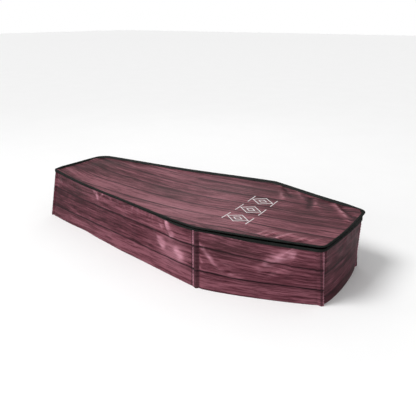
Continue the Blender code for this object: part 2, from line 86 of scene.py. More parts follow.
class Pen:
    """Draws nodes in a tree, one call a node, and links or sets their inputs."""

    def __init__(self, tree: bpy.types.NodeTree) -> None:
        """Take the tree that the nodes go into."""
        self.tree = tree

    def add(self, kind: str, inputs: dict | None = None, **settings: object) -> bpy.types.Node:
        """Add one node.

        Args:
            kind: The node's type, such as ShaderNodeMath.
            inputs: Sockets, numbers or colours by the input's name or number.
            settings: Properties of the node itself.

        Returns:
            The new node.
        """
        node = self.tree.nodes.new(kind)
        for key, value in settings.items():
            setattr(node, key, value)
        for key, value in (inputs or {}).items():
            self.put(node.inputs[key], value)
        return node

    def tap(self, kind: str, inputs: dict | None = None, **settings: object) -> Socket:
        """Add one node as above, and give its first output."""
        return self.add(kind, inputs, **settings).outputs[0]

    def vector(self, x: object = 0.0, y: object = 0.0, z: object = 0.0) -> Socket:
        """Join three numbers into a vector."""
        return self.tap("ShaderNodeCombineXYZ", {0: x, 1: y, 2: z})

    def put(self, socket: Socket, value: object) -> None:
        """Link a socket to an input, or set the input's own value."""
        if isinstance(value, Socket):
            self.tree.links.new(value, socket)
        else:
            socket.default_value = value

    def math(self, operation: str, *values: object, clamp: bool = False) -> Socket:
        """Add a math node and give its output."""
        node = self.add("ShaderNodeMath", dict(enumerate(values)), operation=operation)
        node.use_clamp = clamp
        return node.outputs[0]

    def times(self, first: object, second: object) -> Socket:
        """Multiply two values."""
        return self.math("MULTIPLY", first, second)

    def line(self, value: object, slope: object, base: object, clamp: bool = False) -> Socket:
        """Multiply a value by a slope and add a base."""
        return self.math("MULTIPLY_ADD", value, slope, base, clamp=clamp)

    def ramp(self, value: object, low: float, high: float, start: float = 0.0, end: float = 1.0) -> Socket:
        """Add a smooth step from start to end while the value goes from low to high."""
        return self.tap("ShaderNodeMapRange", {0: value, 1: low, 2: high, 3: start, 4: end},
                        interpolation_type="SMOOTHSTEP")

    def mix(self, share: object, first: object, second: object, blend: str = "MIX") -> Socket:
        """Mix two colours."""
        inputs = {0: share, 6: first, 7: second}
        return self.add("ShaderNodeMix", inputs, data_type="RGBA", blend_type=blend).outputs[2]

    def cover(self, colour: object, mask: object, strength: float, top: Colour) -> Socket:
        """Lay a colour over another one where a mask says, at a strength."""
        return self.mix(self.times(mask, strength), colour, top)

    def place(self) -> Socket:
        """Give the place on the piece, in metres."""
        return self.add("ShaderNodeTexCoord").outputs["Object"]

    def uv(self, name: str) -> Socket:
        """Read one of the piece's maps."""
        return self.tap("ShaderNodeUVMap", uv_map=name)

    def mask(self, name: str) -> Socket:
        """Read one of the piece's masks."""
        return self.add("ShaderNodeAttribute", attribute_name=name).outputs["Fac"]

    def parts(self, vector: object) -> Outputs:
        """Split a vector into its three numbers."""
        return self.add("ShaderNodeSeparateXYZ", {0: vector}).outputs

    def glossy(self) -> Socket:
        """Tell whether a ray comes off something glossy."""
        return self.add("ShaderNodeLightPath").outputs["Is Glossy Ray"]

    def bump(self, height: object, strength: float, distance: float, below: object = None) -> Socket:
        """Bend the surface by a height, over another bump if there is one."""
        inputs = {"Height": height, "Strength": strength, "Distance": distance}
        if below is not None:
            inputs["Normal"] = below
        return self.tap("ShaderNodeBump", inputs)

    def noise(self, vector: object, scale: Sequence[float], detail: float = 3.0,
              roughness: float = 0.6, distortion: float = 0.0) -> Socket:
        """Add a noise that is stretched by its scale in each direction."""
        place = self.tap("ShaderNodeMapping", {"Vector": vector, "Scale": tuple(scale)})
        return self.tap("ShaderNodeTexNoise", {
            "Vector": place, "Scale": 1.0, "Detail": detail,
            "Roughness": roughness, "Distortion": distortion})


class Group:
    """A shader node group that is built once and placed in each material that uses it."""
    title = "group"
    takes: dict[str, str] = {}
    gives: dict[str, str] = {}

    def __init__(self) -> None:
        """Build the group's tree."""
        self.tree = bpy.data.node_groups.new(self.title, "ShaderNodeTree")
        for way, sockets in (("INPUT", self.takes), ("OUTPUT", self.gives)):
            for name, kind in sockets.items():
                self.tree.interface.new_socket(name, in_out=way, socket_type="NodeSocket" + kind)
        pen = Pen(self.tree)
        given = pen.add("NodeGroupInput").outputs
        pen.add("NodeGroupOutput", self.build(pen, given))

    def build(self, pen: Pen, given: Outputs) -> dict:
        """Build the inside of the group.

        Args:
            pen: Where the nodes go.
            given: The group's inputs.

        Returns:
            The sockets that feed the group's outputs, by name.
        """
        raise NotImplementedError

    def place(self, pen: Pen, inputs: dict) -> Outputs:
        """Place the group in a material.

        Args:
            pen: The material's nodes.
            inputs: Values or sockets by name.

        Returns:
            The group's outputs.
        """
        node = pen.add("ShaderNodeGroup", node_tree=self.tree)
        for key, value in inputs.items():
            pen.put(node.inputs[key], value)
        return node.outputs


class PlankPrintAndLight(Group):
    """Boards of coarse wood as printed on cloth, with painted light and painted highlights laid over them: U
    runs along them in metres, V counts them.
    """
    title = "plank_print"
    takes = {"Print": "Vector", "Stain": "Float", "Glow": "Float"}
    gives = {"Color": "Color"}
    darkest: Colour = (0.012, 0.006, 0.008, 1.0)
    dark: Colour = (0.044, 0.013, 0.018, 1.0)
    middle: Colour = (0.14, 0.046, 0.061, 1.0)
    light: Colour = (0.31, 0.128, 0.158, 1.0)
    painted_highlight: Colour = (0.78, 0.44, 0.52, 1.0)
    olive: Colour = (0.045, 0.03, 0.028, 1.0)

    def build(self, pen: Pen, given: Outputs) -> dict:
        """Draw boards, their fibres and the dark gaps between them, with painted light patches and painted
        highlights on crests.
        """
        print_place = given["Print"]
        parts = pen.parts(print_place)
        bend = pen.noise(print_place, (2.2, 0.4, 1.0), 2.0)
        tremble = pen.noise(print_place, (16.0, 2.5, 1.0), 2.0)
        shifted = pen.math("ADD", parts[1], pen.line(bend, 0.1, -0.05))
        shifted = pen.math("ADD", shifted, pen.line(tremble, 0.05, -0.025))
        board = pen.math("FLOOR", shifted)
        across = pen.math("FRACT", shifted)
        edge = pen.math("MINIMUM", across, pen.math("SUBTRACT", 1.0, across))
        pick = pen.tap("ShaderNodeTexWhiteNoise", {"W": board}, noise_dimensions="1D")
        grain_place = pen.vector(pen.line(pick, 9.0, parts[0]), shifted, pick)
        coarse = pen.noise(grain_place, (2.4, 4.0, 5.0), 3.0, 0.55, 0.9)
        streak = pen.noise(grain_place, (9.0, 13.0, 5.0), 5.0, 0.68, 0.35)
        fibre = pen.noise(grain_place, (24.0, 60.0, 5.0), 4.0, 0.7)
        tone = pen.times(coarse, 0.3)
        tone = pen.line(streak, 0.52, tone)
        tone = pen.line(fibre, 0.18, tone)
        tone = pen.line(pen.math("SUBTRACT", pick, 0.5), 0.05, tone)
        # The light input lifts or lowers the tone: patches that are partly painted light and shade.
        tone = pen.line(given["Glow"], 0.06, tone)
        spread = pen.line(pen.math("SUBTRACT", tone, 0.5), 5.6, 0.5, clamp=True)
        wood = pen.mix(pen.ramp(spread, 0.0, 0.42), self.dark, self.middle)
        wood = pen.mix(pen.ramp(spread, 0.42, 1.0), wood, self.light)
        flecks = pen.noise(grain_place, (11.0, 26.0, 9.0), 3.0, 0.6)
        wood = pen.mix(pen.ramp(flecks, 0.58, 0.7, 0.0, 0.7), wood, self.dark)
        # Painted highlight: past one, the light input mixes a pale pink into crests and sleeve ridges.
        worn = pen.times(pen.ramp(given["Glow"], 0.5, 3.0, 0.0, 0.92),
                         pen.ramp(streak, 0.34, 0.6, 0.45, 1.0))
        wood = pen.mix(worn, wood, self.painted_highlight)
        uneven = pen.noise(grain_place, (3.5, 0.7, 1.0), 3.0)
        gap = pen.times(pen.ramp(edge, 0.01, 0.058, 1.0, 0.0),
                        pen.ramp(uneven, 0.3, 0.55, 0.6, 1.0))
        below = pen.ramp(across, 0.62, 1.0)
        shade = pen.times(pen.math("MAXIMUM", pen.ramp(edge, 0.0, 0.1, 1.0, 0.0), below),
                          pen.ramp(uneven, 0.38, 0.65, 0.05, 0.6))
        wood = pen.mix(shade, wood, self.dark)
        wood = pen.mix(gap, wood, self.darkest)
        # Olive stains mixed in; on the walls the same mask carries painted shadow under the tape.
        stain = pen.times(given["Stain"], pen.ramp(streak, 0.3, 0.66, 0.95, 0.35))
        return {"Color": pen.mix(stain, wood, self.olive)}


class Weave(Group):
    """Plain weave as a height, from a place in metres on the cloth."""
    title = "weave"
    takes = {"Cloth": "Vector", "Pitch": "Float"}
    gives = {"Height": "Float", "Gap": "Float"}

    def build(self, pen: Pen, given: Outputs) -> dict:
        """Cross two rows of threads."""
        parts = pen.parts(given["Cloth"])
        turn = pen.math("DIVIDE", math.pi, given["Pitch"])
        warp = pen.math("SINE", pen.times(parts[0], turn))
        weft = pen.math("SINE", pen.times(parts[1], turn))
        height = pen.math("MAXIMUM", pen.math("ABSOLUTE", warp), pen.math("ABSOLUTE", weft))
        # Painted shade in the gaps between the threads, which the finishes darken.
        gap = pen.ramp(height, 0.15, 0.5, 1.0, 0.0)
        return {"Height": height, "Gap": gap}


class Handling(Group):
    """Dust and the marks of handling: a mask of worn places and a finer one of lint."""
    title = "handling"
    takes = {"Place": "Vector", "Scale": "Float"}
    gives = {"Worn": "Float", "Lint": "Float"}

    def build(self, pen: Pen, given: Outputs) -> dict:
        """Mix a broad and a fine noise."""
        place = pen.tap("ShaderNodeVectorMath", {0: given["Place"], "Scale": given["Scale"]},
                        operation="SCALE")
        broad = pen.noise(place, (1.0, 1.0, 1.0), 3.0, 0.55, 0.4)
        fine = pen.noise(place, (55.0, 55.0, 55.0), 2.0, 0.5)
        return {"Worn": pen.ramp(broad, 0.35, 0.7), "Lint": pen.ramp(fine, 0.66, 0.8)}


@dataclass
class Groups:
    """The shader groups that the finishes share."""
    planks: PlankPrintAndLight = field(default_factory=PlankPrintAndLight)
    weave: Weave = field(default_factory=Weave)
    handling: Handling = field(default_factory=Handling)


# Finishes

@dataclass(frozen=True)
class Finish:
    """A material, drawn with the groups that all finishes share."""
    groups: Groups
    name: str

    def material(self) -> Material:
        """Build the material."""
        material = bpy.data.materials.new(self.name)
        material.use_nodes = True
        pen = Pen(material.node_tree)
        shader = material.node_tree.nodes["Principled BSDF"]
        for key, value in self.draw(pen).items():
            pen.put(shader.inputs[key], value)
        return material

    def draw(self, pen: Pen) -> dict[str, object]:
        """Draw the finish, and give the shader's inputs by name."""
        raise NotImplementedError

    def marks(self, pen: Pen, place: Socket, scale: float) -> Outputs:
        """Place the marks of handling."""
        return self.groups.handling.place(pen, {"Place": place, "Scale": scale})


@dataclass(frozen=True)
class PrintedCloth(Finish):
    """Smooth polyester with the boards printed on it, half glossy."""
    # The tint multiplies the print; the walls' copy is darkened by it as painted shade.
    tint: Colour = (1.0, 1.0, 1.0, 1.0)
    roughness: float = 0.33
    shine: float = 0.34
    shine_tint: Colour = (1.0, 0.52, 0.62, 1.0)
    weave_pitch: float = 0.0007
    weave_gap_shade: Colour = (0.03, 0.012, 0.016, 1.0)
    painted_shade: Colour = (0.012, 0.006, 0.008, 1.0)
    lint: Colour = (0.5, 0.45, 0.45, 1.0)
    with_marks: bool = False

    def draw(self, pen: Pen) -> dict[str, object]:
        """Print the boards, their painted light and the marks, then add the weave's painted shade, the
        painted shade of gathers and seams, and the lint.
        """
        cloth = pen.uv("cloth")
        colour = self.groups.planks.place(pen, {
            "Print": pen.uv("print"), "Stain": pen.mask("stain"), "Glow": pen.mask("glow")})[0]
        colour = pen.mix(1.0, colour, self.tint, "MULTIPLY")
        if self.with_marks:
            lines, filled = PrintedMarks().mask(pen, cloth)
            colour = pen.mix(filled, colour, PrintedMarks.fill)
            colour = pen.mix(lines, colour, PrintedMarks.white)
        weave = self.groups.weave.place(pen, {"Cloth": cloth, "Pitch": self.weave_pitch})
        marks = self.marks(pen, pen.place(), 9.0)
        colour = pen.cover(colour, weave["Gap"], 0.25, self.weave_gap_shade)
        # Painted shade: the dimples of the gathers, the walls' ends and the sleeves' far sides.
        colour = pen.cover(colour, pen.mask("shade"), 0.85, self.painted_shade)
        colour = pen.cover(colour, marks["Lint"], 0.05, self.lint)
        soft = pen.bump(pen.noise(cloth, (34.0, 26.0, 1.0), 3.0, 0.55, 0.5), 0.22, 0.004)
        return {"Base Color": colour, "Roughness": pen.line(marks["Worn"], 0.1, self.roughness - 0.05),
                "Normal": pen.bump(weave["Height"], 0.25, 0.00012, soft),
                "Specular IOR Level": self.shine, "Specular Tint": self.shine_tint}


@dataclass(frozen=True)
class PrintedMarks:
    """A row of plain outlined lozenges between short bars, printed white across the lid."""
    middle_x: float = 0.3654
    first_y: float = -0.201
    pitch: float = 0.113
    count: int = 3
    slant: float = 0.06
    half_length: float = 0.056
    half_width: float = 0.043
    line: float = 0.0021
    outer: float = 0.88
    inner: float = 0.34
    bar: float = 0.86
    fill_strength: float = 0.35
    white: Colour = (0.82, 0.8, 0.8, 1.0)
    fill: Colour = (0.225, 0.165, 0.17, 1.0)

    def mask(self, pen: Pen, cloth: Socket) -> tuple[Socket, Socket]:
        """Draw the row.

        Args:
            pen: The material's nodes.
            cloth: A place on the lid in metres.

        Returns:
            The mask of the lines and the mask of what they enclose.
        """
        parts = pen.parts(cloth)
        leaning = pen.line(parts[1], self.slant, parts[0])
        along = pen.math("ABSOLUTE", pen.math("SUBTRACT", leaning, self.middle_x))
        units = pen.math("DIVIDE", pen.math("SUBTRACT", parts[1], self.first_y), self.pitch)
        inside = pen.times(pen.math("GREATER_THAN", units, 0.0),
                           pen.math("LESS_THAN", units, float(self.count)))
        centred = pen.math("SUBTRACT", pen.math("FRACT", units), 0.5)
        across = pen.math("ABSOLUTE", pen.times(centred, self.pitch))
        steep = 1.0 / math.hypot(1.0 / self.half_length, 1.0 / self.half_width)
        reach = pen.math("ADD", pen.math("DIVIDE", along, self.half_length),
                         pen.math("DIVIDE", across, self.half_width))
        rings = [self.outline(pen, pen.times(pen.math("SUBTRACT", reach, size), steep))
                 for size in (self.outer, self.inner)]
        bar = pen.times(self.outline(pen, pen.math("SUBTRACT", along, self.half_length)),
                        pen.math("LESS_THAN", across, self.half_width * self.bar))
        lines = pen.math("MAXIMUM", pen.math("MAXIMUM", *rings), bar)
        filled = pen.times(pen.math("LESS_THAN", reach, self.outer), self.fill_strength)
        return pen.times(lines, inside), pen.times(filled, inside)

    def outline(self, pen: Pen, distance: Socket) -> Socket:
        """Draw a line where a distance is near nothing."""
        return pen.ramp(pen.math("ABSOLUTE", distance), self.line * 0.6, self.line * 1.2, 1.0, 0.0)


@dataclass(frozen=True)
class PlainCloth(Finish):
    """Dull dark cloth: the lining and the floor."""
    colour: Colour
    pale: Colour
    roughness: float = 0.75
    sheen: float = 0.15
    weave_pitch: float = 0.0011
    weave_gap_shade: Colour = (0.004, 0.004, 0.004, 1.0)
    lint: Colour = (0.4, 0.38, 0.36, 1.0)

    def draw(self, pen: Pen) -> dict[str, object]:
        """Cloud the colour, then add the weave and the lint."""
        cloth = pen.uv("cloth")
        weave = self.groups.weave.place(pen, {"Cloth": cloth, "Pitch": self.weave_pitch})
        marks = self.marks(pen, pen.place(), 7.0)
        cloudy = pen.ramp(pen.noise(cloth, (30.0, 5.0, 1.0), 5.0, 0.65), 0.35, 0.7)
        colour = pen.cover(pen.mix(cloudy, self.colour, self.pale), weave["Gap"], 0.5, self.weave_gap_shade)
        return {"Base Color": pen.cover(colour, marks["Lint"], 0.12, self.lint),
                "Roughness": pen.line(marks["Worn"], 0.12, self.roughness - 0.06),
                "Normal": pen.bump(weave["Height"], 0.5, 0.0003), "Sheen Weight": self.sheen}


@dataclass(frozen=True)
class RibbedTape(Finish):
    """Black woven tape with fine ribs across it."""
    name: str = "binding_tape"
    rib_pitch: float = 0.0013
    shine: float = 0.22
    colour: Colour = (0.0055, 0.007, 0.006, 1.0)
    worn: Colour = (0.013, 0.017, 0.014, 1.0)
    lint: Colour = (0.3, 0.28, 0.27, 1.0)

    def draw(self, pen: Pen) -> dict[str, object]:
        """Draw the ribs, paler where they are worn."""
        along = pen.parts(pen.uv("cloth"))[0]
        marks = self.marks(pen, pen.place(), 24.0)
        rib = pen.line(pen.math("SINE", pen.times(along, 2.0 * math.pi / self.rib_pitch)), 0.5, 0.5)
        colour = pen.mix(pen.times(marks["Worn"], rib), self.colour, self.worn)
        return {"Base Color": pen.cover(colour, marks["Lint"], 0.1, self.lint),
                "Roughness": pen.line(marks["Worn"], 0.15, 0.5),
                "Normal": pen.bump(rib, 0.6, 0.0004), "Specular IOR Level": self.shine}


@dataclass(frozen=True)
class Thread(Finish):
    """Spun sewing thread, with a twist along it."""
    colour: Colour
    pale: Colour

    def draw(self, pen: Pen) -> dict[str, object]:
        """Draw the plies."""
        place = pen.place()
        ply = pen.noise(place, (900.0, 900.0, 900.0), 2.0)
        worn = self.marks(pen, place, 40.0)["Worn"]
        return {"Base Color": pen.mix(pen.ramp(ply, 0.35, 0.65), self.colour, self.pale),
                "Roughness": pen.line(worn, 0.1, 0.5), "Normal": pen.bump(ply, 0.4, 0.0002)}


@dataclass(frozen=True)
class DrawnWire(Finish):
    """Drawn spring wire with fine marks along it."""
    name: str = "hoop_wire"
    colour: Colour = (0.55, 0.55, 0.56, 1.0)
    worn: Colour = (0.36, 0.35, 0.34, 1.0)

    def draw(self, pen: Pen) -> dict[str, object]:
        """Draw the marks of drawing and of handling."""
        place = pen.place()
        drawn = pen.noise(place, (30.0, 30.0, 1600.0), 3.0)
        worn = self.marks(pen, place, 30.0)["Worn"]
        return {"Base Color": pen.mix(worn, self.colour, self.worn), "Metallic": 1.0,
                "Roughness": pen.line(drawn, 0.25, 0.22), "Normal": pen.bump(drawn, 0.15, 0.0002)}


@dataclass(frozen=True)
class PulledResin(Finish):
    """Dark grey resin rod with its fibres showing faintly along it."""
    name: str = "rod_resin"
    colour: Colour = (0.1, 0.1, 0.1, 1.0)
    pale: Colour = (0.16, 0.16, 0.15, 1.0)

    def draw(self, pen: Pen) -> dict[str, object]:
        """Draw the fibres."""
        place = pen.place()
        fibres = pen.noise(place, (900.0, 900.0, 12.0), 4.0)
        worn = self.marks(pen, place, 20.0)["Worn"]
        return {"Base Color": pen.mix(pen.ramp(fibres, 0.35, 0.65), self.colour, self.pale),
                "Roughness": pen.line(worn, 0.2, 0.3), "Normal": pen.bump(fibres, 0.15, 0.0002)}


@dataclass(frozen=True)
class PaleFloor(Finish):
    """The studio's floor, which gloss mirrors dimly."""
    name: str = "studio_floor"
    colour: Colour = (0.95, 0.95, 0.95, 1.0)
    speck: Colour = (0.96, 0.96, 0.96, 1.0)

    def draw(self, pen: Pen) -> dict[str, object]:
        """Draw a faint grit."""
        grit = pen.noise(pen.place(), (3.0, 3.0, 3.0), 2.0)
        tint = pen.mix(pen.ramp(grit, 0.3, 0.7), self.colour, self.speck)
        dim = (GLOSSY_DIM, GLOSSY_DIM, GLOSSY_DIM, 1.0)
        return {"Base Color": pen.mix(pen.glossy(), tint, dim), "Roughness": 0.9}


# The shape that all pieces share

@dataclass(frozen=True)
class Corner:
    """A corner seen from above, its rod's lean and place, and the reach of its sleeve's arms at the top."""
    name: str
    x: float
    y: float
    bend: float
    lean: Pair
    rod_inset: float | None = None
    arm: float = 0.013


@dataclass(frozen=True)
class Station:
    """The hoops at one place: the lid's sag, the rim's drop below it and the rim's inset."""
    sag: float
    drop: float
    inset: float


@dataclass(frozen=True)
class Notch:
    """One point of a hoop: its place, the ways out and up there, and the length so far."""
    place: float
    point: Vector
    out: Vector
    up: Vector
    run: float


@dataclass(frozen=True)
class Wall:
    """A wall, from its own corner to the next one against the clock."""
    name: str
    kind: Kind
    steps: int


def outward(direction: Vector) -> Vector:
    """Turn a way round the coffin, against the clock, into the way out of it."""
    return Vector((direction.y, -direction.x))


def level_normal(run: Vector) -> Vector:
    """Give the level direction out of a cloth from a way along it."""
    return run.cross(UP).normalized()


def clamp(share: float) -> float:
    """Hold a share between 0 and 1."""
    return max(0.0, min(1.0, share))


def ease(share: float) -> float:
    """Run smoothly from 0 to 1, and stay there outside."""
    return (1 - math.cos(math.pi * clamp(share))) / 2


def mound(place: float, middle: float, spread: float) -> float:
    """Give the height of a soft mound of height 1 at a place."""
    return math.exp(-((place - middle) / spread) ** 2)


def arch(along: float, skew: float, fullness: float) -> float:
    """Rise from one edge of a wall and fall to the other."""
    return max(0.0, math.sin(math.pi * along ** skew)) ** fullness


def through(place: float, stops: Sequence[Pair]) -> float:
    """Read a smooth line through given points.

    Args:
        place: Where to read it.
        stops: The points, in rising order.

    Returns:
        The line's height there.
    """
    last = len(stops) - 1
    step = max(i for i in range(last) if i == 0 or stops[i][0] <= place)
    slopes = []
    for middle in (step, step + 1):
        before, after = stops[max(middle - 1, 0)], stops[min(middle + 1, last)]
        slopes.append((after[1] - before[1]) / (after[0] - before[0]))
    (start, low), (end, high) = stops[step], stops[step + 1]
    share = clamp((place - start) / (end - start))
    rise = share ** 2 * (3 - 2 * share)
    bow = share * (1 - share) * (slopes[0] * (1 - share) - slopes[1] * share)
    return low + (high - low) * rise + (end - start) * bow


def ripple(x: float, y: float, z: float) -> float:
    """Give a smooth random height, the same in each run."""
    return noise.noise(Vector((x, y, z)))


def lengths_along(points: Sequence[Vector]) -> list[float]:
    """Give how far each point of a bent line lies along it."""
    lengths = [0.0]
    for here, there in zip(points, points[1:]):
        lengths.append(lengths[-1] + (there - here).length)
    return lengths


def even(points: Sequence[Vector], count: int) -> list[Vector]:
    """Put points at even steps along a bent line.

    Args:
        points: The line's own points.
        count: How many points to put, with both ends.

    Returns:
        The new points.
    """
    lengths = lengths_along(points)
    result, step = [], 0
    for number in range(count):
        target = lengths[-1] * number / (count - 1)
        while step < len(points) - 2 and lengths[step + 1] < target:
            step += 1
        share = (target - lengths[step]) / (lengths[step + 1] - lengths[step])
        result.append(points[step].lerp(points[step + 1], share))
    return result


class Hoop:
    """A closed line round the coffin that can be read at any place, where a corner is a whole number."""

    def __init__(self, places: list[float], points: list[Vector]) -> None:
        """Take the line's places and points, in order round the coffin."""
        self.places = places
        self.points = points
        order = sorted(range(len(places)), key=lambda i: places[i])
        self.sorted_places = [places[i] for i in order]
        self.sorted_points = [points[i] for i in order]

    def at(self, place: float) -> Vector:
        """Give the line's point at a place."""
        place %= len(CoffinShape.walls)
        after = bisect.bisect_right(self.sorted_places, place) % len(self.places)
        low, high = self.sorted_places[after - 1], self.sorted_places[after]
        span = (high - low) % len(CoffinShape.walls)
        share = ((place - low) % len(CoffinShape.walls)) / span
        return self.sorted_points[after - 1].lerp(self.sorted_points[after], share)


class CoffinShape:
    """The outline, the hoops, the rods and the walls' surfaces, in the solid model's own sizes."""
    lid_length = 1.524
    height = 0.255
    foot_half = 0.1635
    foot_pull = 0.005
    shoulder_half = 0.329
    shoulder_x = 1.049
    head_half = 0.207
    head_bow = 0.007
    middle_x = 0.7546
    smallest_bend = 0.002
    cloth = 0.002
    gap = 0.0003
    band_half = 0.0035
    rim_below_lid = 0.0051
    cloth_from_wire = 0.0025
    lid_mouth = 0.0045
    rim_mouth = 0.005
    rod_below_tape = 0.0016
    tucked = 0.028
    sleeve_arm = 0.013
    sleeve_radius = 0.007
    sleeve_bore = 0.005
    sleeve_taper = math.radians(27)
    sleeve_steps = 12
    flap = 0.0035
    flap_over = (0.0013, 0.0009)
    flap_under = (0.0005, 0.0002)
    outer_points = 48
    lid_dish = 0.01
    far_fall = 0.0048
    far_from = 3.02
    far_start = 0.2
    far_end = 0.12
    rim_dip = 0.006
    rim_dip_at = 0.9
    rim_dip_reach = 0.06
    side_bulge = 0.0065
    shoulder_bulge = 0.0155
    head_bulge = 0.02
    swag_height = 0.007
    swag_half = 0.13
    arc_steps = 8
    corners = (
        Corner("foot_right", -foot_pull, -foot_half, 0.009, (-0.028, 0.036)),
        Corner("shoulder_right", shoulder_x, -shoulder_half, 0.075, (0.019, 0.029)),
        Corner("head_right", 1.53, -head_half, 0.04, (0.014, -0.015), 0.026),
        Corner("head_left", 1.534, 0.217, 0.04, (0.0143, 0.0099), 0.04),
        Corner("shoulder_left", shoulder_x, shoulder_half, 0.075, (0.019, 0.029)),
        Corner("foot_left", -foot_pull, 0.1765, 0.075, (-0.033, 0.036), None, 0.026),
    )
    walls = (
        Wall("side_right", Kind.SIDE, 150), Wall("shoulder_right", Kind.SHOULDER, 72),
        Wall("head", Kind.HEAD, 60), Wall("shoulder_left", Kind.SHOULDER, 72),
        Wall("side_left", Kind.SIDE, 150), Wall("foot", Kind.FOOT, 48),
    )
    at_corners = (
        Station(0.0, 0.003, 0.008), Station(0.003, 0.007, 0.011), Station(0.0, 0.0125, 0.008),
        Station(0.0, 0.0265, 0.011), Station(0.0, 0.004, 0.011), Station(0.003, 0.003, 0.008),
    )
    at_middles = (
        Station(0.0155, 0.002, 0.012), Station(0.0035, 0.014, 0.01), Station(0.0, 0.015, 0.008),
        Station(0.002, 0.012, 0.01), Station(0.007, 0.002, 0.012), Station(0.0015, 0.003, 0.008),
    )
    right_sag = (
        (0.0, 0.0), (0.08, 0.007), (0.16, 0.013), (0.28, 0.0158), (0.45, 0.0157),
        (0.6, 0.0138), (0.78, 0.0122), (0.88, 0.0098), (0.95, 0.0062), (1.0, 0.003),
    )

    def __init__(self) -> None:
        """Work out the rim once."""
        self.rim = self.ring(True)
        self.shares = [(self.clear_share(index, False), 1 - self.clear_share(index, True))
                       for index in range(len(self.walls))]

    def corner(self, index: int) -> Vector:
        """Give a sharp corner of the lid, seen from above and measured from the foot's edge."""
        corner = self.corners[index % len(self.corners)]
        return Vector((corner.x, corner.y))

    def heading(self, index: int) -> Vector:
        """Give the direction of the wall that starts at a corner."""
        return (self.corner(index + 1) - self.corner(index)).normalized()

    def turn(self, index: int) -> float:
        """Give how far the outline turns at a corner."""
        return self.heading(index - 1).angle(self.heading(index))

    def bisector(self, index: int) -> Vector:
        """Give the outward direction midway between the two walls at a corner."""
        return (outward(self.heading(index - 1)) + outward(self.heading(index))).normalized()

    def station(self, place: float) -> Station:
        """Give the hoops at a place round the coffin."""
        count = len(self.walls)
        index = math.floor(place + 1e-6)
        along = place - index
        corner, middle = self.at_corners[index % count], self.at_middles[index % count]
        if along < 0.5:
            start, end, share = corner, middle, ease(along * 2)
        else:
            start, end, share = middle, self.at_corners[(index + 1) % count], ease(along * 2 - 1)
        sag = start.sag + (end.sag - start.sag) * share
        if index % count == 0:
            sag = through(along, self.right_sag)
        dip = self.rim_dip * mound(place, self.rim_dip_at, self.rim_dip_reach)
        return Station(sag, start.drop + (end.drop - start.drop) * share + dip,
                       start.inset + (end.inset - start.inset) * share)

    def outline(self, extra: float, follow_rim: bool) -> tuple[list[float], list[Vector]]:
        """Draw the coffin's outline from above.

        Args:
            extra: How far inside the lid's edge it runs.
            follow_rim: Whether it runs along the rim instead.

        Returns:
            The places and the points, measured from the foot's edge.
        """
        def inset(place: float) -> float:
            """Give how far inside the lid's edge the line runs at a place."""
            return extra + (self.station(place).inset if follow_rim else 0.0)

        def bend(index: int) -> tuple[float, Vector]:
            """Give the radius and the centre of the bend at a corner."""
            radius = max(self.corners[index % len(self.corners)].bend - inset(index), self.smallest_bend)
            away = (inset(index) + radius) / math.cos(self.turn(index) / 2)
            return radius, self.corner(index) - self.bisector(index) * away

        points: list[Vector] = []
        middles: list[int] = []
        for index, wall in enumerate(self.walls):
            radius, centre = bend(index)
            first = outward(self.heading(index - 1))
            middles.append(len(points) + self.arc_steps // 2)
            for step in range(self.arc_steps + 1):
                arm = Matrix.Rotation(self.turn(index) * step / self.arc_steps, 2) @ first
                points.append(centre + arm * radius)
            side = outward(self.heading(index))
            next_radius, next_centre = bend(index + 1)
            start, end = points[-1].copy(), next_centre + side * next_radius
            for step in range(1, wall.steps):
                along = step / wall.steps
                straight = inset(index) * (1 - along) + inset(index + 1) * along
                out = straight - inset(index + along)
                if wall.kind is Kind.HEAD:
                    out += self.head_bow * math.sin(math.pi * along)
                points.append(start.lerp(end, along) + side * out)
        return self.places(points, middles), points

    def places(self, points: list[Vector], middles: list[int]) -> list[float]:
        """Number the outline's points by their length between the middles of two bends.

        Args:
            points: The outline's points.
            middles: Which points are the middles of the bends.

        Returns:
            A place for each point.
        """
        total = len(points)
        places = [0.0] * total
        for index, first in enumerate(middles):
            count = (middles[(index + 1) % len(middles)] - first) % total
            lengths = lengths_along([points[(first + step) % total] for step in range(count + 1)])
            for step in range(count):
                places[(first + step) % total] = index + lengths[step] / lengths[-1]
        return places

    def far_side(self, place: float) -> float:
        """Give how fully a place lies on the left or the foot, where the lid's cloth falls from its wire."""
        return ease(min((place - self.far_from) / self.far_start, (len(self.walls) - place) / self.far_end))

    def lid_height(self, place: float) -> float:
        """Give the height of the middle of the lid's wire."""
        return self.height - self.band_half - self.station(place).sag

    def rim_height(self, place: float) -> float:
        """Give the height of the middle of the rim's wire."""
        return self.lid_height(place) - self.rim_below_lid - self.station(place).drop

    def ring(self, follow_rim: bool) -> Hoop:
        """Give the middle line of a hoop in space."""
        places, points = self.outline(0.0 if follow_rim else self.band_half, follow_rim)
        height = self.rim_height if follow_rim else self.lid_height
        return Hoop(places, [Vector((point.x - self.middle_x, point.y, height(place)))
                             for place, point in zip(places, points)])

    def notches(self, follow_rim: bool) -> list[Notch]:
        """Give a hoop's points with the ways out and up, and the length so far."""
        hoop = self.ring(follow_rim)
        count, length, result = len(hoop.points), 0.0, []
        for i, (place, point) in enumerate(zip(hoop.places, hoop.points)):
            after = hoop.points[(i + 1) % count]
            run = after - hoop.points[i - 1]
            out = outward(run).to_3d().normalized()
            result.append(Notch(place, point, out, out.cross(run).normalized(), length))
            length += (after - point).length
        return result

    def rod_top(self, index: int) -> Vector:
        """Give the middle of the top of a corner's rod."""
        index %= len(self.corners)
        point = self.rim.at(index).to_2d()
        inset = self.corners[index].rod_inset
        if inset is not None:
            point = self.corner(index) - Vector((self.middle_x, 0)) - self.bisector(index) * inset
        return Vector((*point, self.rim_height(index) - self.rim_mouth - self.rod_below_tape))

    def rod_foot(self, index: int) -> Vector:
        """Give the middle of the bottom of a corner's rod."""
        index %= len(self.corners)
        ahead, out = self.corners[index].lean
        top = self.rod_top(index)
        return Vector((top.x + ahead, top.y + math.copysign(out, out * top.y), 0.0))

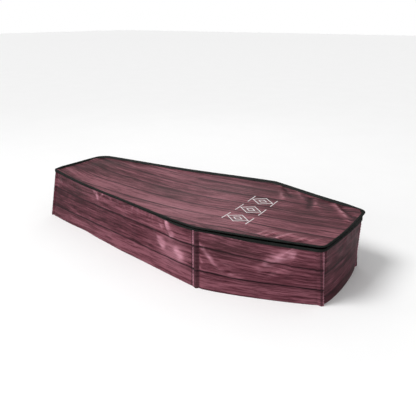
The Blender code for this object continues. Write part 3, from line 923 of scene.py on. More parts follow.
    def clear_share(self, index: int, backwards: bool) -> float:
        """Give the share of a wall's length along the rim that a corner's sleeve takes up."""
        corner = (index + 1) % len(self.walls) if backwards else index
        way = -self.heading(index) if backwards else self.heading(index)
        top, arm = self.rod_top(corner), self.corners[corner].arm
        near, far = 0.0, 0.5
        for _ in range(30):
            share = (near + far) / 2
            spot = self.rim.at(index + 1 - share if backwards else index + share)
            if (spot - top).to_2d().dot(way) < arm + 2 * self.gap:
                near = share
            else:
                far = share
        return far

    def swag(self, along: float, up: float) -> float:
        """Give the swell of the slack fold between the two top corners of a shoulder wall."""
        crest = 0.3 + 2.6 * (along - 0.42) ** 2
        fade = math.sin(math.pi * up) * min(1.0, 6.0 * along, 6.0 * (1 - along))
        return self.swag_height * fade * mound(up, crest, self.swag_half)

    def bulge(self, kind: Kind, along: float, up: float) -> float:
        """Give how far a wall stands out from the straight surface between its edges."""
        low = max(0.0, 1 - up) ** 1.5
        if kind is Kind.HEAD:
            return self.head_bulge * arch(along, 0.85, 0.6) * low
        if kind is Kind.SIDE:
            return (self.side_bulge * arch(along, 1.0, 0.35) - self.side_bulge * mound(along, 0.28, 0.075)
                    + 0.003 * mound(along, 0.57, 0.08)) * low
        if kind is Kind.SHOULDER:
            return self.shoulder_bulge * arch(along, 0.8, 0.6) * low + self.swag(along, up)
        return 0.0

    def ground(self, index: int, along: float, up: float, inset: float = 0.0) -> Vector:
        """Give the point on the ground below a place of a wall, moved out by the bulge there."""
        index %= len(self.walls)
        start = self.rod_foot(index)
        run = self.rod_foot(index + 1) - start
        clear = (self.sleeve_arm + 2 * self.gap) / run.length
        mirrored = self.walls[index].name.endswith("left")
        out = self.bulge(self.walls[index].kind, 1 - along if mirrored else along, up) - inset
        side = outward(run.to_2d().normalized()) * out
        return start + run * (clear + (1 - 2 * clear) * along) + Vector((side.x, side.y, 0.0))

    def wall_point(self, index: int, along: float, up: float) -> Vector:
        """Give a point of a wall, from the ground to the rods' tops; past 1 it is inside the rim's tape."""
        start, end = self.shares[index]
        place = index + start + (end - start) * along
        straight_foot = self.ground(index, along, 1.0)
        out = self.ground(index, along, min(up, 1.0)) - straight_foot
        foot = straight_foot + Vector((0, 0, self.gap))
        below = self.rim_mouth + 2 * self.gap
        below += (self.cloth_from_wire - below) * clamp((up - 1) / self.tucked)
        return foot.lerp(self.rim.at(place) - Vector((0, 0, below)), min(up, 1.0)) + out

    def sleeve_section(self, index: int, high: bool) -> list[Vector]:
        """Draw a sleeve's outline about its rod, seen from above.

        Args:
            index: The corner.
            high: Whether it is drawn at the rod's top or on the ground.

        Returns:
            The points of the outer face, from the flap on the wall before to the wall after, then of the
            inner face and of the flap's underside.
        """
        before, after = self.heading(index - 1), self.heading(index)
        rod = self.rod_top(index) if high else self.rod_foot(index)
        previous = (index - 1) % len(self.walls)
        share_before, share_after = self.shares[previous][1], self.shares[index][0]
        edge_before = self.rim.at(previous + share_before) if high else self.ground(previous, 1.0, 0.0)
        edge_after = self.rim.at(index + share_after) if high else self.ground(index, 0.0, 0.0)
        end_before = (edge_before - rod).to_2d() + before * 2 * self.gap
        end_after = (edge_after - rod).to_2d() - after * 2 * self.gap
        half = self.cloth / 2
        first, last = outward(before), outward(after)
        swing = self.turn(index) + 2 * self.sleeve_taper
        arc = [Matrix.Rotation(swing * step / self.sleeve_steps - self.sleeve_taper, 2) @ first
               * self.sleeve_radius for step in range(self.sleeve_steps + 1)]
        flap = end_before - before * self.flap
        (far_out, near_out), (far_in, near_in) = self.flap_over, self.flap_under
        arm_in = [flap + first * (half + far_out), end_before + first * (half + near_out)]
        outer = even(arm_in + arc + [end_after + last * half], self.outer_points)
        inner = [end_after - last * half, -self.bisector(index) * (self.sleeve_radius + self.gap),
                 end_before - first * half, end_before + first * (half + near_in),
                 flap + first * (half + far_in)]
        return outer + inner


# Cloth

@dataclass(frozen=True)
class Fold:
    """A fold along a bent line on a cloth: positive stands proud, negative is a valley."""
    path: tuple[Pair, ...]
    half_width: float
    height: float
    fade_start: bool = True
    fade_end: bool = True
    fade: float = 0.35

    def __post_init__(self) -> None:
        """Remember the box outside which the fold does nothing."""
        margin = self.half_width * 3
        xs, ys = zip(*self.path)
        object.__setattr__(self, "low", (min(xs) - margin, min(ys) - margin))
        object.__setattr__(self, "high", (max(xs) + margin, max(ys) + margin))

    def at(self, x: float, y: float) -> float:
        """Give the fold's height at a place of the cloth, in metres."""
        if not (self.low[0] < x < self.high[0] and self.low[1] < y < self.high[1]):
            return 0.0
        best, best_share = 1e9, 0.0
        count = len(self.path) - 1
        for step in range(count):
            (ax, ay), (bx, by) = self.path[step], self.path[step + 1]
            dx, dy = bx - ax, by - ay
            share = clamp(((x - ax) * dx + (y - ay) * dy) / (dx * dx + dy * dy))
            gap = math.hypot(x - ax - dx * share, y - ay - dy * share)
            if gap < best:
                best, best_share = gap, (step + share) / count
        height = self.height * mound(best, 0.0, self.half_width)
        if self.fade_start:
            height *= ease(best_share / self.fade)
        if self.fade_end:
            height *= ease((1 - best_share) / self.fade)
        return height


@dataclass(frozen=True)
class Patch:
    """A soft-edged area of the print that is darker or brighter."""
    x: float
    y: float
    reach_x: float
    reach_y: float
    strength: float

    def at(self, x: float, y: float) -> float:
        """Give the patch's strength at a place of the cloth."""
        return self.strength * math.exp(-((x - self.x) / self.reach_x) ** 2
                                        - ((y - self.y) / self.reach_y) ** 2)


def pile(parts: Sequence[Fold | Patch], x: float, y: float) -> float:
    """Add up the folds' heights, or the patches' strengths, at a place of the cloth."""
    return sum(part.at(x, y) for part in parts)


@dataclass
class ClothGrid:
    """A grid of points on a cloth, with its maps and masks, that becomes one thin closed piece."""
    points: list[list[Vector]]
    cloth: list[list[Pair]]
    boards: list[list[Pair]]
    masks: dict[str, list[list[float]]]

    def fold(self, depth: Callable[[float, float], float]) -> None:
        """Move every point along its normal by a height that depends on its place on the cloth."""
        rows, columns = len(self.points), len(self.points[0])
        moved = []
        for j in range(rows):
            row = []
            for i in range(columns):
                ahead = self.points[j][min(i + 1, columns - 1)] - self.points[j][max(i - 1, 0)]
                up = self.points[min(j + 1, rows - 1)][i] - self.points[max(j - 1, 0)][i]
                normal = ahead.cross(up).normalized()
                row.append(self.points[j][i] + normal * depth(*self.cloth[j][i]))
            moved.append(row)
        self.points = moved

    def piece(self, name: str, outer: Material, inner: Material, thickness: float) -> Piece:
        """Make the cloth an object.

        Args:
            name: The piece's name.
            outer: The finish of its printed face.
            inner: The finish of its back.
            thickness: How thick it is.

        Returns:
            The new object, with its faces turned outwards.
        """
        rows, columns = len(self.points), len(self.points[0])
        faces = [(j * columns + i, j * columns + i + 1, (j + 1) * columns + i + 1, (j + 1) * columns + i)
                 for j in range(rows - 1) for i in range(columns - 1)]
        mesh = new_mesh(name, flatten(self.points), [], faces)
        for title, pairs in (("cloth", self.cloth), ("print", self.boards)):
            lay_map(mesh, title, flatten(pairs))
        for title, values in self.masks.items():
            lay_mask(mesh, title, flatten(values))
        mesh.materials.append(outer)
        mesh.materials.append(inner)
        mesh.shade_smooth()
        piece = add_piece(name, mesh)
        shell = piece.modifiers.new("thickness", "SOLIDIFY")
        shell.thickness = thickness
        shell.offset = 0.0
        shell.use_even_offset = True
        shell.material_offset = 1
        return piece


def flatten(rows: Sequence[Sequence[object]]) -> list:
    """Put the items of all rows in one list."""
    return [item for row in rows for item in row]


def new_mesh(name: str, points: Sequence[Vector], edges: Sequence[tuple[int, int]],
             faces: Sequence[tuple[int, ...]]) -> Mesh:
    """Make a mesh from its points, edges and faces."""
    mesh = bpy.data.meshes.new(name)
    mesh.from_pydata(points, edges, faces)
    return mesh


def lay_map(mesh: Mesh, name: str, places: Sequence[Pair]) -> None:
    """Give a mesh a map, from a place for each of its points."""
    layer = mesh.uv_layers.new(name=name)
    for loop in mesh.loops:
        layer.data[loop.index].uv = places[loop.vertex_index]


def lay_mask(mesh: Mesh, name: str, values: Sequence[float]) -> None:
    """Give a mesh a mask, from a value for each of its points."""
    mesh.attributes.new(name, "FLOAT", "POINT").data.foreach_set("value", values)


def add_piece(name: str, data: bpy.types.ID) -> Piece:
    """Put a mesh, a lamp or a camera in the scene."""
    piece = bpy.data.objects.new(name, data)
    bpy.context.scene.collection.objects.link(piece)
    return piece


def fill(mesh: Mesh, build: bmesh.types.BMesh) -> None:
    """Turn the faces of a closed build outwards and fill a mesh with them."""
    bmesh.ops.recalc_face_normals(build, faces=build.faces)
    build.to_mesh(mesh)
    build.free()


def dress(mesh: Mesh, finish: Material, slot: Slot, *nodes: str, crease: float = 180.0) -> Piece:
    """Make a mesh a finished piece of its own name, smooth but for the edges past an angle."""
    mesh.materials.append(finish)
    mesh.shade_smooth()
    if crease < 180.0:
        mesh.set_sharp_from_angle(angle=math.radians(crease))
    return settle(add_piece(mesh.name, mesh), slot, *nodes)


def settle(piece: Piece, slot: Slot, *nodes: str) -> Piece:
    """Say what a finished piece rides on, and hide the solid model's parts that it stands for."""
    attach(piece, "root")
    if nodes:
        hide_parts(*nodes)
    LOG.info("%s: %d faces", piece.name, len(piece.data.polygons))
    return piece


# Stitches

@dataclass(frozen=True)
class Stitch:
    """The sizes of one kind of stitch, and what its small skews are drawn from."""
    pitch: float
    length: float
    radius: float
    seed: int


class StitchTree:
    """Geometry nodes that lay a thread in even stitches along a line."""

    def __init__(self) -> None:
        """Build the tree with its named inputs."""
        self.tree = bpy.data.node_groups.new("stitches", "GeometryNodeTree")
        face = self.tree.interface
        self.keys: dict[str, str] = {}
        for name, kind, value in (
                ("Geometry", "Geometry", None), ("Pitch", "Float", 0.006), ("Length", "Float", 0.0045),
                ("Radius", "Float", 0.0004), ("Skew", "Float", 0.08), ("Seed", "Int", 7),
                ("Thread", "Material", None)):
            socket = face.new_socket(name, in_out="INPUT", socket_type="NodeSocket" + kind)
            if value is not None:
                socket.default_value = value
            self.keys[name] = socket.identifier
        face.new_socket("Geometry", in_out="OUTPUT", socket_type="NodeSocketGeometry")
        self.build(Pen(self.tree))

    def build(self, pen: Pen) -> None:
        """Lay an arched thread at every pitch, turned along the line and away from the cloth."""
        given = pen.add("NodeGroupInput").outputs
        curve = pen.tap("GeometryNodeMeshToCurve", {0: given["Geometry"]})
        spaced = pen.tap("GeometryNodeResampleCurve", {"Curve": curve, "Length": given["Pitch"]},
                         mode="LENGTH")
        tangent = pen.tap("GeometryNodeInputTangent")
        away = pen.tap("GeometryNodeInputNamedAttribute", {"Name": "away"}, data_type="FLOAT_VECTOR")
        turn = pen.tap("FunctionNodeAxesToRotation", {0: away, 1: tangent},
                       primary_axis="Z", secondary_axis="X")
        skew = pen.add("FunctionNodeRandomValue", {
            2: pen.times(given["Skew"], -1.0), 3: given["Skew"], "Seed": given["Seed"]},
            data_type="FLOAT").outputs[1]
        tilt = pen.tap("FunctionNodeEulerToRotation", {0: pen.vector(0.0, 0.0, skew)})
        facing = pen.tap("FunctionNodeRotateRotation", {0: turn, 1: tilt}, rotation_space="LOCAL")
        half = pen.times(given["Length"], 0.5)
        low = pen.times(given["Radius"], -0.9)
        arc = pen.tap("GeometryNodeCurveQuadraticBezier", {
            "Resolution": 5, "Start": pen.vector(pen.times(half, -1.0), 0.0, low),
            "Middle": pen.vector(0.0, 0.0, pen.times(given["Radius"], 2.2)),
            "End": pen.vector(half, 0.0, low)})
        section = pen.tap("GeometryNodeCurvePrimitiveCircle", {
            "Resolution": 5, "Radius": given["Radius"]}, mode="RADIUS")
        thread = pen.tap("GeometryNodeCurveToMesh", {
            "Curve": arc, "Profile Curve": section, "Fill Caps": True})
        laid = pen.tap("GeometryNodeInstanceOnPoints", {
            "Points": spaced, "Instance": thread, "Rotation": facing})
        real = pen.tap("GeometryNodeRealizeInstances", {0: laid})
        dressed = pen.tap("GeometryNodeSetMaterial", {"Geometry": real, "Material": given["Thread"]})
        pen.add("NodeGroupOutput", {0: dressed})

    def sew(self, name: str, lines: Sequence[tuple[list[Vector], list[Vector], bool]],
            thread: Material, stitch: Stitch) -> Piece:
        """Sew along lines on a cloth.

        Args:
            name: The piece's name.
            lines: For each, its points, the directions away from the cloth and whether it is closed.
            thread: The thread's finish.
            stitch: The stitches' sizes and seed.

        Returns:
            One plain mesh of all the stitches.
        """
        points, aways, edges = [], [], []
        for line, away, closed in lines:
            first = len(points)
            points += line
            aways += away
            edges += [(first + i, first + i + 1) for i in range(len(line) - 1)]
            if closed:
                edges.append((first + len(line) - 1, first))
        path = new_mesh(name + "_path", points, edges, [])
        layer = path.attributes.new("away", "FLOAT_VECTOR", "POINT")
        layer.data.foreach_set("vector", flatten(aways))
        guide = add_piece(name + "_path", path)
        lay = guide.modifiers.new("stitches", "NODES")
        lay.node_group = self.tree
        for key, value in (("Pitch", stitch.pitch), ("Length", stitch.length),
                           ("Radius", stitch.radius), ("Seed", stitch.seed), ("Thread", thread)):
            lay[self.keys[key]] = value
        evaluated = guide.evaluated_get(bpy.context.evaluated_depsgraph_get())
        mesh = bpy.data.meshes.new_from_object(evaluated)
        bpy.data.objects.remove(guide, do_unlink=True)
        bpy.data.meshes.remove(path)
        mesh.name = name
        mesh.shade_smooth()
        return add_piece(name, mesh)


# Sub-assemblies

@dataclass
class Finishes:
    """Every material of the coffin."""
    groups: Groups = field(default_factory=Groups)

    def __post_init__(self) -> None:
        """Build the materials."""
        groups = self.groups
        self.lid = PrintedCloth(groups, "printed_lid_cloth", (1.0, 0.9, 0.9, 1.0),
                                with_marks=True).material()
        # The walls' copy is the lid's print darkened and reddened by its tint, as painted shade.
        self.walls = PrintedCloth(groups, "printed_wall_cloth", (0.66, 0.56, 0.6, 1.0)).material()
        self.lining = PlainCloth(groups, "lining", (0.06, 0.03, 0.038, 1.0),
                                 (0.085, 0.045, 0.055, 1.0)).material()
        self.floor = PlainCloth(groups, "floor_cloth", (0.035, 0.022, 0.026, 1.0),
                                (0.055, 0.036, 0.041, 1.0)).material()
        self.tape = RibbedTape(groups).material()
        self.black_thread = Thread(groups, "black_thread", (0.008, 0.008, 0.008, 1.0),
                                   (0.03, 0.03, 0.03, 1.0)).material()
        self.plum_thread = Thread(groups, "plum_thread", (0.03, 0.012, 0.016, 1.0),
                                  (0.07, 0.03, 0.04, 1.0)).material()
        self.wire = DrawnWire(groups).material()
        self.rod = PulledResin(groups).material()
        self.studio_floor = PaleFloor(groups).material()


@dataclass
class Assembly:
    """What every sub-assembly is made with."""
    shape: CoffinShape
    finishes: Finishes
    stitches: StitchTree


@dataclass
class FoldedTape(Assembly):
    """A tape folded over a hoop, as a thin bent strip with its stitches."""
    name: str
    node: str
    follow_rim: bool
    mouth: Mouth
    lip: float
    tape: float = 0.0012
    slit: float = 0.0004
    waver: float = 0.00035
    waver_from: float = 0.002
    waver_run: float = 0.0025
    stitch_inset: float = 0.0012
    stitch_lift: float = 0.00065
    stitch_fall: float = 0.93
    wide_lip: float = 0.0065
    head_lip: Spot = (2.25, 0.6, 0.003)
    head_left: float = 3.0
    corner_lip: float = 0.01
    far_rise: float = 0.0034
    slack_from: float = 0.01
    puff: float = 0.0055
    puff_reach: float = 0.03
    stitch: Stitch = Stitch(0.0052, 0.004, 0.00035, 11)

    def section(self) -> list[Pair]:
        """Draw the folded strip's section: out of the coffin, and up."""
        half, wire, cloth = self.shape.band_half, self.shape.band_half - self.tape, self.shape.cloth / 2
        outer = [(-self.lip, cloth + self.tape + self.slit)]
        inner = [(-self.lip, cloth + self.slit)]
        for step in range(11):
            angle = math.radians(125 - 25 * step)
            outer.append((half * math.cos(angle), half * math.sin(angle)))
            inner.append((wire * math.cos(angle), wire * math.sin(angle)))
        outer.append((-self.lip, -cloth - self.tape - self.slit))
        inner.append((-self.lip, -cloth - self.slit))
        return outer + inner[::-1]

    def build(self) -> Piece:
        """Sweep the section round the hoop."""
        section, half = self.section(), self.shape.band_half
        quarter = Matrix.Rotation(self.mouth.value * math.pi / 2, 2)
        turned = [quarter @ Vector(point) for point in section]
        notches = self.shape.notches(self.follow_rim)
        widths = lengths_along(turned)
        rings = []
        for notch in notches:
            ring, place = [], notch.place
            far, slack = self.far(place), self.slack(place)
            puffed = self.puff * self.follow_rim * sum(
                mound(place, foot, self.puff_reach) for foot in (0.0, 6.0))
            for k, spot in enumerate(turned):
                edge = max(0.0, -section[k][0] - self.waver_from) / self.waver_run
                sway = noise.noise(notch.point * 24.0 + Vector((k * 0.02, 0, 0))) * self.waver * edge
                lip = section[k][0] < -self.lip * 0.9
                away = quarter @ Vector((sway * 2.0 - self.widening(place) * lip, sway * 0.3))
                lift = (slack + puffed * 0.6) * ease(spot.y / half)
                lift += self.far_rise * far * ease(1 + section[k][0] / half) * (spot.y > 0)
                lift -= self.shape.far_fall * far * lip
                ring.append(notch.point + notch.out * (spot.x + away.x + puffed)
                            + notch.up * (spot.y + away.y + lift))
            rings.append(ring)
        mesh = closed_sweep(self.name, rings, notches, widths)
        return dress(mesh, self.finishes.tape, Slot.TAPE, self.node, crease=50)

    def far(self, place: float) -> float:
        """Give how fully a place of the lid's tape lies on the far side."""
        return 0.0 if self.follow_rim else self.shape.far_side(place)

    def widening(self, place: float) -> float:
        """Give how much further the lid's tape reaches over its cloth: on the far side and round the head."""
        if self.follow_rim:
            return 0.0
        start, run, reach = self.head_lip
        head = reach * ease((place - start) / run) * (place < self.head_left)
        return self.wide_lip * self.shape.far_side(place) + head \
            + self.corner_lip * mound(place, self.head_left - 0.005, 0.045)

    def slack(self, place: float) -> float:
        """Give how far the rim's tape stands up off its wire, where the rim hangs low."""
        return max(0.0, self.shape.station(place).drop - self.slack_from) if self.follow_rim else 0.0

    def sew(self, seed: int) -> Piece:
        """Lay the row of stitches that holds the fold, near its outer or upper lip."""
        line, away = [], []
        reach = -self.lip + self.stitch_inset
        rise = self.shape.cloth / 2 + self.tape + self.stitch_lift
        quarter = Matrix.Rotation(self.mouth.value * math.pi / 2, 2)
        side = -1.0 if self.mouth is Mouth.DOWNWARDS else 1.0
        spot, lift = quarter @ Vector((reach, rise * side)), quarter @ Vector((0.0, side))
        for notch in self.shape.notches(self.follow_rim):
            fall = self.shape.far_fall * self.far(notch.place) * self.stitch_fall
            line.append(notch.point + notch.out * (spot.x - self.widening(notch.place))
                        + notch.up * (spot.y - fall))
            away.append(notch.out * lift.x + notch.up * lift.y)
        piece = self.stitches.sew(self.name + "_stitches", [(line, away, True)],
                                  self.finishes.black_thread, replace(self.stitch, seed=seed))
        return settle(piece, Slot.TAPE)


def closed_sweep(name: str, rings: list[list[Vector]], notches: list[Notch], widths: list[float]) -> Mesh:
    """Join equal sections round the coffin into a closed ring.

    Args:
        name: The mesh's name.
        rings: The points of each section.
        notches: Where each section stands, with its length round the coffin.
        widths: How far each point of a section lies along it.

    Returns:
        The mesh, with its map in metres.
    """
    count, size = len(rings), len(rings[0])
    faces = [(i * size + k, (i + 1) % count * size + k, (i + 1) % count * size + (k + 1) % size,
              i * size + (k + 1) % size) for i in range(count) for k in range(size)]
    mesh = new_mesh(name, flatten(rings), [], faces)
    layer = mesh.uv_layers.new(name="cloth")
    whole = notches[-1].run + (notches[0].point - notches[-1].point).length
    for face in mesh.polygons:
        for loop_index in face.loop_indices:
            vertex = mesh.loops[loop_index].vertex_index
            last = face.index // size == count - 1 and vertex < size
            run = whole if last else notches[vertex // size].run
            layer.data[loop_index].uv = run, widths[vertex % size]
    build = bmesh.new()
    build.from_mesh(mesh)
    fill(mesh, build)
    return mesh


@dataclass
class Lid(Assembly):
    """The lid: printed cloth stretched on a bound hoop."""
    across: int = 96
    under_tape: float = 0.0085
    fall_reach: float = 0.12
    fold_fade: float = 0.016
    broad: float = 0.0012
    small: float = 0.00035
    head_x: float = 1.527
    near_edge: Spot = (0.9935, 0.997, 1.0)
    knots: tuple[Spot, ...] = ((0.955, -0.262, 0.03), (1.03, -0.285, 0.018), (0.4, 0.02, 0.016))
    flat: Pair = (0.665, 1.548)
    flat_area: float = 0.788
    board: float = 0.0975
    grain: tuple[Pair, ...] = (
        (0.0, -0.04), (0.23, -0.084), (0.47, -0.095), (0.67, -0.102), (0.92, -0.094),
        (1.05, -0.082), (1.19, -0.06), (1.38, -0.038), (1.53, -0.016))
    folds: tuple[Fold, ...] = (
        Fold(((1.103, 0.262), (1.156, 0.184), (1.205, 0.122)), 0.012, 0.003),
        Fold(((1.106, 0.298), (1.157, 0.243), (1.214, 0.183)), 0.011, -0.0034, False),
        Fold(((1.189, 0.28), (1.238, 0.214), (1.279, 0.162)), 0.012, 0.003, False),
        Fold(((1.266, 0.256), (1.298, 0.176), (1.331, 0.086)), 0.012, -0.004, False),
        Fold(((1.293, 0.236), (1.326, 0.17), (1.364, 0.121)), 0.012, 0.0032, False),
        Fold(((1.385, 0.225), (1.447, 0.145), (1.506, 0.068)), 0.013, 0.0046, False, False),
        Fold(((1.402, 0.237), (1.462, 0.167), (1.521, 0.106)), 0.01, -0.0044, False, False),
        Fold(((1.276, -0.236), (1.286, -0.204), (1.293, -0.174)), 0.007, 0.0022, False),
        Fold(((1.305, -0.232), (1.319, -0.195), (1.333, -0.164)), 0.007, 0.0028, False),
        Fold(((1.313, -0.236), (1.327, -0.203), (1.342, -0.177)), 0.006, -0.0024, False),
        Fold(((1.348, -0.228), (1.367, -0.18), (1.393, -0.143)), 0.008, 0.0032, False),
        Fold(((1.362, -0.232), (1.38, -0.204), (1.397, -0.182)), 0.006, -0.0026, False),
        Fold(((1.372, -0.222), (1.39, -0.183), (1.415, -0.151)), 0.006, 0.0024, False),
        Fold(((1.416, -0.215), (1.432, -0.179), (1.448, -0.155)), 0.007, 0.0028, False),
        Fold(((1.427, -0.212), (1.441, -0.191), (1.46, -0.179)), 0.006, -0.0024, False),
        Fold(((1.46, -0.185), (1.477, -0.157), (1.495, -0.135)), 0.007, 0.0024, False),
    )
    # Strength of the painted highlight on fold crests and of the painted shade in their valleys.
    fold_light: float = 520.0
    stains_and_shade: tuple[Patch, ...] = (
        Patch(0.12, 0.08, 0.13, 0.1, 0.75), Patch(0.66, -0.04, 0.17, 0.05, 0.75),
        Patch(1.08, 0.2, 0.2, 0.09, 0.45), Patch(0.3, -0.02, 0.14, 0.05, 0.35),
        Patch(1.3, 0.05, 0.14, 0.05, 0.4), Patch(0.86, 0.1, 0.16, 0.04, 0.35),
    )
    # Brighter and darker patches, partly painted light: brightest at the near right shoulder, darker at the
    # head and the foot.
    tones_and_painted_light: tuple[Patch, ...] = (
        Patch(0.85, -0.2, 0.45, 0.11, 1.0), Patch(0.5, 0.18, 0.25, 0.05, 0.8),
        Patch(0.95, 0.02, 0.12, 0.05, 0.8), Patch(0.2, -0.12, 0.18, 0.05, 0.4),
        Patch(1.4, 0.12, 0.16, 0.22, -0.8), Patch(0.1, 0.0, 0.12, 0.2, -0.9),
    )

    def cloth_grid(self) -> ClothGrid:
        """Lay lines across the lid from the foot to the head, which sink to its middle."""
        shape = self.shape
        margin = shape.band_half + shape.cloth_from_wire
        places, points = shape.outline(margin, False)
        count = 3 * (shape.arc_steps + 1) + shape.walls[0].steps + shape.walls[1].steps - 2
        rights = list(zip(places, points))[:count]
        lefts = list(zip(places, points))[count + shape.walls[2].steps - 1:][:count][::-1]
        grid, cloth, boards, stain, glow = [], [], [], [], []
        steps = [step / self.across for step in range(self.across)]
        for share in (*steps, *self.near_edge):
            spots = []
            for line, ((right_place, right), (left_place, left)) in enumerate(zip(rights, lefts)):
                spot = right.lerp(left, share)
                right_sag = shape.station(right_place).sag
                sag = right_sag + (shape.station(left_place).sag - right_sag) * share
                along = (spot.x - margin) / (shape.lid_length - 2 * margin)
                dish = shape.lid_dish * max(0.0, math.sin(math.pi * along)) \
                    * abs(math.sin(math.pi * share)) ** 1.5
                bow = shape.head_bow * ease(line / (count - 1) * 12 - 11)
                spot = spot + Vector((bow * math.sin(math.pi * share), 0))
                hang = self.fall(spot, (1 - share) * (left - right).length, margin)
                height = shape.height - shape.band_half - sag - dish - hang
                spots.append(Vector((spot.x - shape.middle_x, spot.y, height)))
            grid.append(spots)
            flat = [(spot.x + shape.middle_x, spot.y) for spot in spots]
            cloth.append([(x - shape.middle_x, y) for x, y in flat])
            boards.append([(x, self.board_at(x, y)) for x, y in flat])
            stain.append([pile(self.stains_and_shade, x, y) for x, y in flat])
            glow.append([self.glow(x, y) for x, y in flat])
        return ClothGrid(grid, cloth, boards, {"stain": stain, "glow": glow})

    def glow(self, x: float, y: float) -> float:
        """Give how bright the print is at a place: patches partly painted light and shade, a painted
        highlight on a fold's crest and painted shade in its valley.
        """
        relief = pile(self.folds, x, y)
        patchy = 0.75 + 0.8 * ripple(x * 45.0, y * 45.0, 5.0)
        return pile(self.tones_and_painted_light, x, y) + self.fold_light * relief * max(0.2, patchy)

    def board_at(self, x: float, y: float) -> float:
        """Count the printed boards across the lid, along their own bent lines."""
        count = (y - through(x, self.grain)) / self.board + 7.0
        for knot_x, knot_y, size in self.knots:
            far = ((x - knot_x) / 2.6) ** 2 + (y - knot_y) ** 2
            count += 0.55 * (y - knot_y) / size * math.exp(-far / size ** 2) * 0.5
        return count

    def depth(self, x: float, y: float) -> float:
        """Give the height of the lid's folds at a place."""
        x += self.shape.middle_x
        edge = self.edge_fade(x, y)
        broad = ripple(x * 3.2, y * 5.0, 2.0) * self.broad
        small = ripple(x * 13.0, y * 17.0, 9.0) * self.small
        return (pile(self.folds, x, y) + broad + small) * edge

    def fall(self, spot: Vector, left_gap: float, margin: float) -> float:
        """Give how far the cloth hangs below its wire near the left edge and the foot."""
        shape = self.shape
        across = (shape.foot_half - spot.y) / (2 * shape.foot_half)
        foot_gap = spot.x - margin + shape.foot_pull * across
        left = shape.far_side(3.0 + clamp((self.head_x - spot.x) / (self.head_x - shape.shoulder_x)))
        foot = shape.far_side(5.0 + across)
        gap, far = min((left_gap, left), (foot_gap, foot))
        back = ease((gap - self.under_tape) / self.fall_reach)
        return shape.far_fall * far * clamp(gap / self.under_tape) * (1 - back)

    def edge_fade(self, x: float, y: float) -> float:
        """Fade folds out under the tape."""
        shape = self.shape
        wide, knee = shape.shoulder_half, shape.shoulder_x
        if x < knee:
            half = shape.foot_half + (wide - shape.foot_half) * x / knee
        else:
            half = wide - (wide - shape.head_half) * (x - knee) / (shape.lid_length - knee)
        gap = min(half - abs(y), x, shape.lid_length + 0.002 - x)
        return ease((gap - self.under_tape) / self.fold_fade)

    def build(self) -> None:
        """Build the lid's cloth, its tape and its stitches."""
        grid = self.cloth_grid()
        grid.fold(self.depth)
        cloth = grid.piece("lid_top", self.finishes.lid, self.finishes.lining, self.shape.cloth)
        settle(cloth, Slot.PRINT, "lid_cloth")
        tape = FoldedTape(self.shape, self.finishes, self.stitches, "lid_edging", "lid_binding",
                          False, Mouth.INWARDS, self.shape.lid_mouth)
        edging = tape.build()
        seam = tape.sew(11)


@dataclass(frozen=True)
class WallLook:
    """How one wall's print and folds lie: metres along it and up it; the second list of folds are painted
    highlights on crests, and the patches are partly painted light and shade.
    """
    flat: Pair
    upper: Pair
    lower: Pair
    folds: tuple[Fold, ...] = ()
    crest_highlights: tuple[Fold, ...] = ()
    tones_and_painted_light: tuple[Patch, ...] = ()
    # On the walls these patches are painted shadow under the rim's tape.
    stains_and_shade: tuple[Patch, ...] = ()
    dotted: float = 0.0
    seed: float = 0.0

    def mirrored(self, seed: float) -> "WallLook":
        """Give the look of the same wall on the other side of the coffin."""
        folds, crest_highlights = (tuple(replace(fold, path=tuple((self.flat[1] - x, y) for x, y in fold.path))
                               for fold in row) for row in (self.folds, self.crest_highlights))
        return WallLook(self.flat, self.upper[::-1], self.lower[::-1], folds, crest_highlights, seed=seed)


SIDE_LOOK = WallLook(
    (0.248, 1.062), (0.335, 0.262), (0.74, 0.664), (
        Fold(((0.335, 0.236), (0.372, 0.212), (0.392, 0.18)), 0.0075, 0.0042, False),
        Fold(((0.425, 0.232), (0.395, 0.206)), 0.006, 0.0024, False),
        Fold(((0.468, 0.236), (0.492, 0.21)), 0.0065, 0.003, False),
        Fold(((0.535, 0.236), (0.562, 0.208)), 0.0065, 0.0028, False),
        Fold(((0.885, 0.232), (0.893, 0.205), (0.918, 0.185), (0.924, 0.15)), 0.0085, 0.006, False),
        Fold(((0.86, 0.232), (0.872, 0.195), (0.895, 0.165)), 0.009, -0.004, False),
        Fold(((0.8, 0.18), (0.84, 0.15), (0.872, 0.1)), 0.012, 0.0034),
        Fold(((0.93, 0.15), (0.965, 0.112), (1.01, 0.085)), 0.012, 0.0036),
        Fold(((0.01, 0.22), (0.034, 0.196), (0.066, 0.18)), 0.007, 0.0034, False),
        Fold(((0.3, 0.2), (0.38, 0.13), (0.52, 0.06)), 0.024, -0.0024),
        Fold(((0.56, 0.19), (0.64, 0.14), (0.76, 0.09)), 0.02, 0.0026),
    ), (
        # Painted highlights along the crests.
        Fold(((0.34, 0.234), (0.374, 0.212), (0.392, 0.178)), 0.0105, 2.5, False),
        Fold(((0.42, 0.228), (0.394, 0.206)), 0.007, 1.5, False),
        Fold(((0.478, 0.228), (0.494, 0.206)), 0.0084, 1.5),
        Fold(((0.89, 0.222), (0.906, 0.204), (0.922, 0.182), (0.924, 0.15)), 0.0119, 2.5, False),
        Fold(((0.845, 0.19), (0.868, 0.215)), 0.0168, 1.2),
        Fold(((0.83, 0.16), (0.862, 0.125), (0.88, 0.095)), 0.0168, 1.9),
        Fold(((0.935, 0.14), (0.966, 0.111), (1.005, 0.088)), 0.0182, 2.0),
        Fold(((0.004, 0.216), (0.036, 0.194)), 0.0112, 1.4, False),
    # Then brighter and darker patches, partly painted light and shade, and a patch of painted shadow under
    # the tape.
    ), (Patch(0.93, 0.11, 0.12, 0.1, 1.3), Patch(0.06, 0.12, 0.1, 0.2, -0.7),
        Patch(0.45, 0.04, 0.3, 0.05, 0.5)), (Patch(0.22, 0.2, 0.16, 0.05, 0.6),), dotted=0.9, seed=1.0)

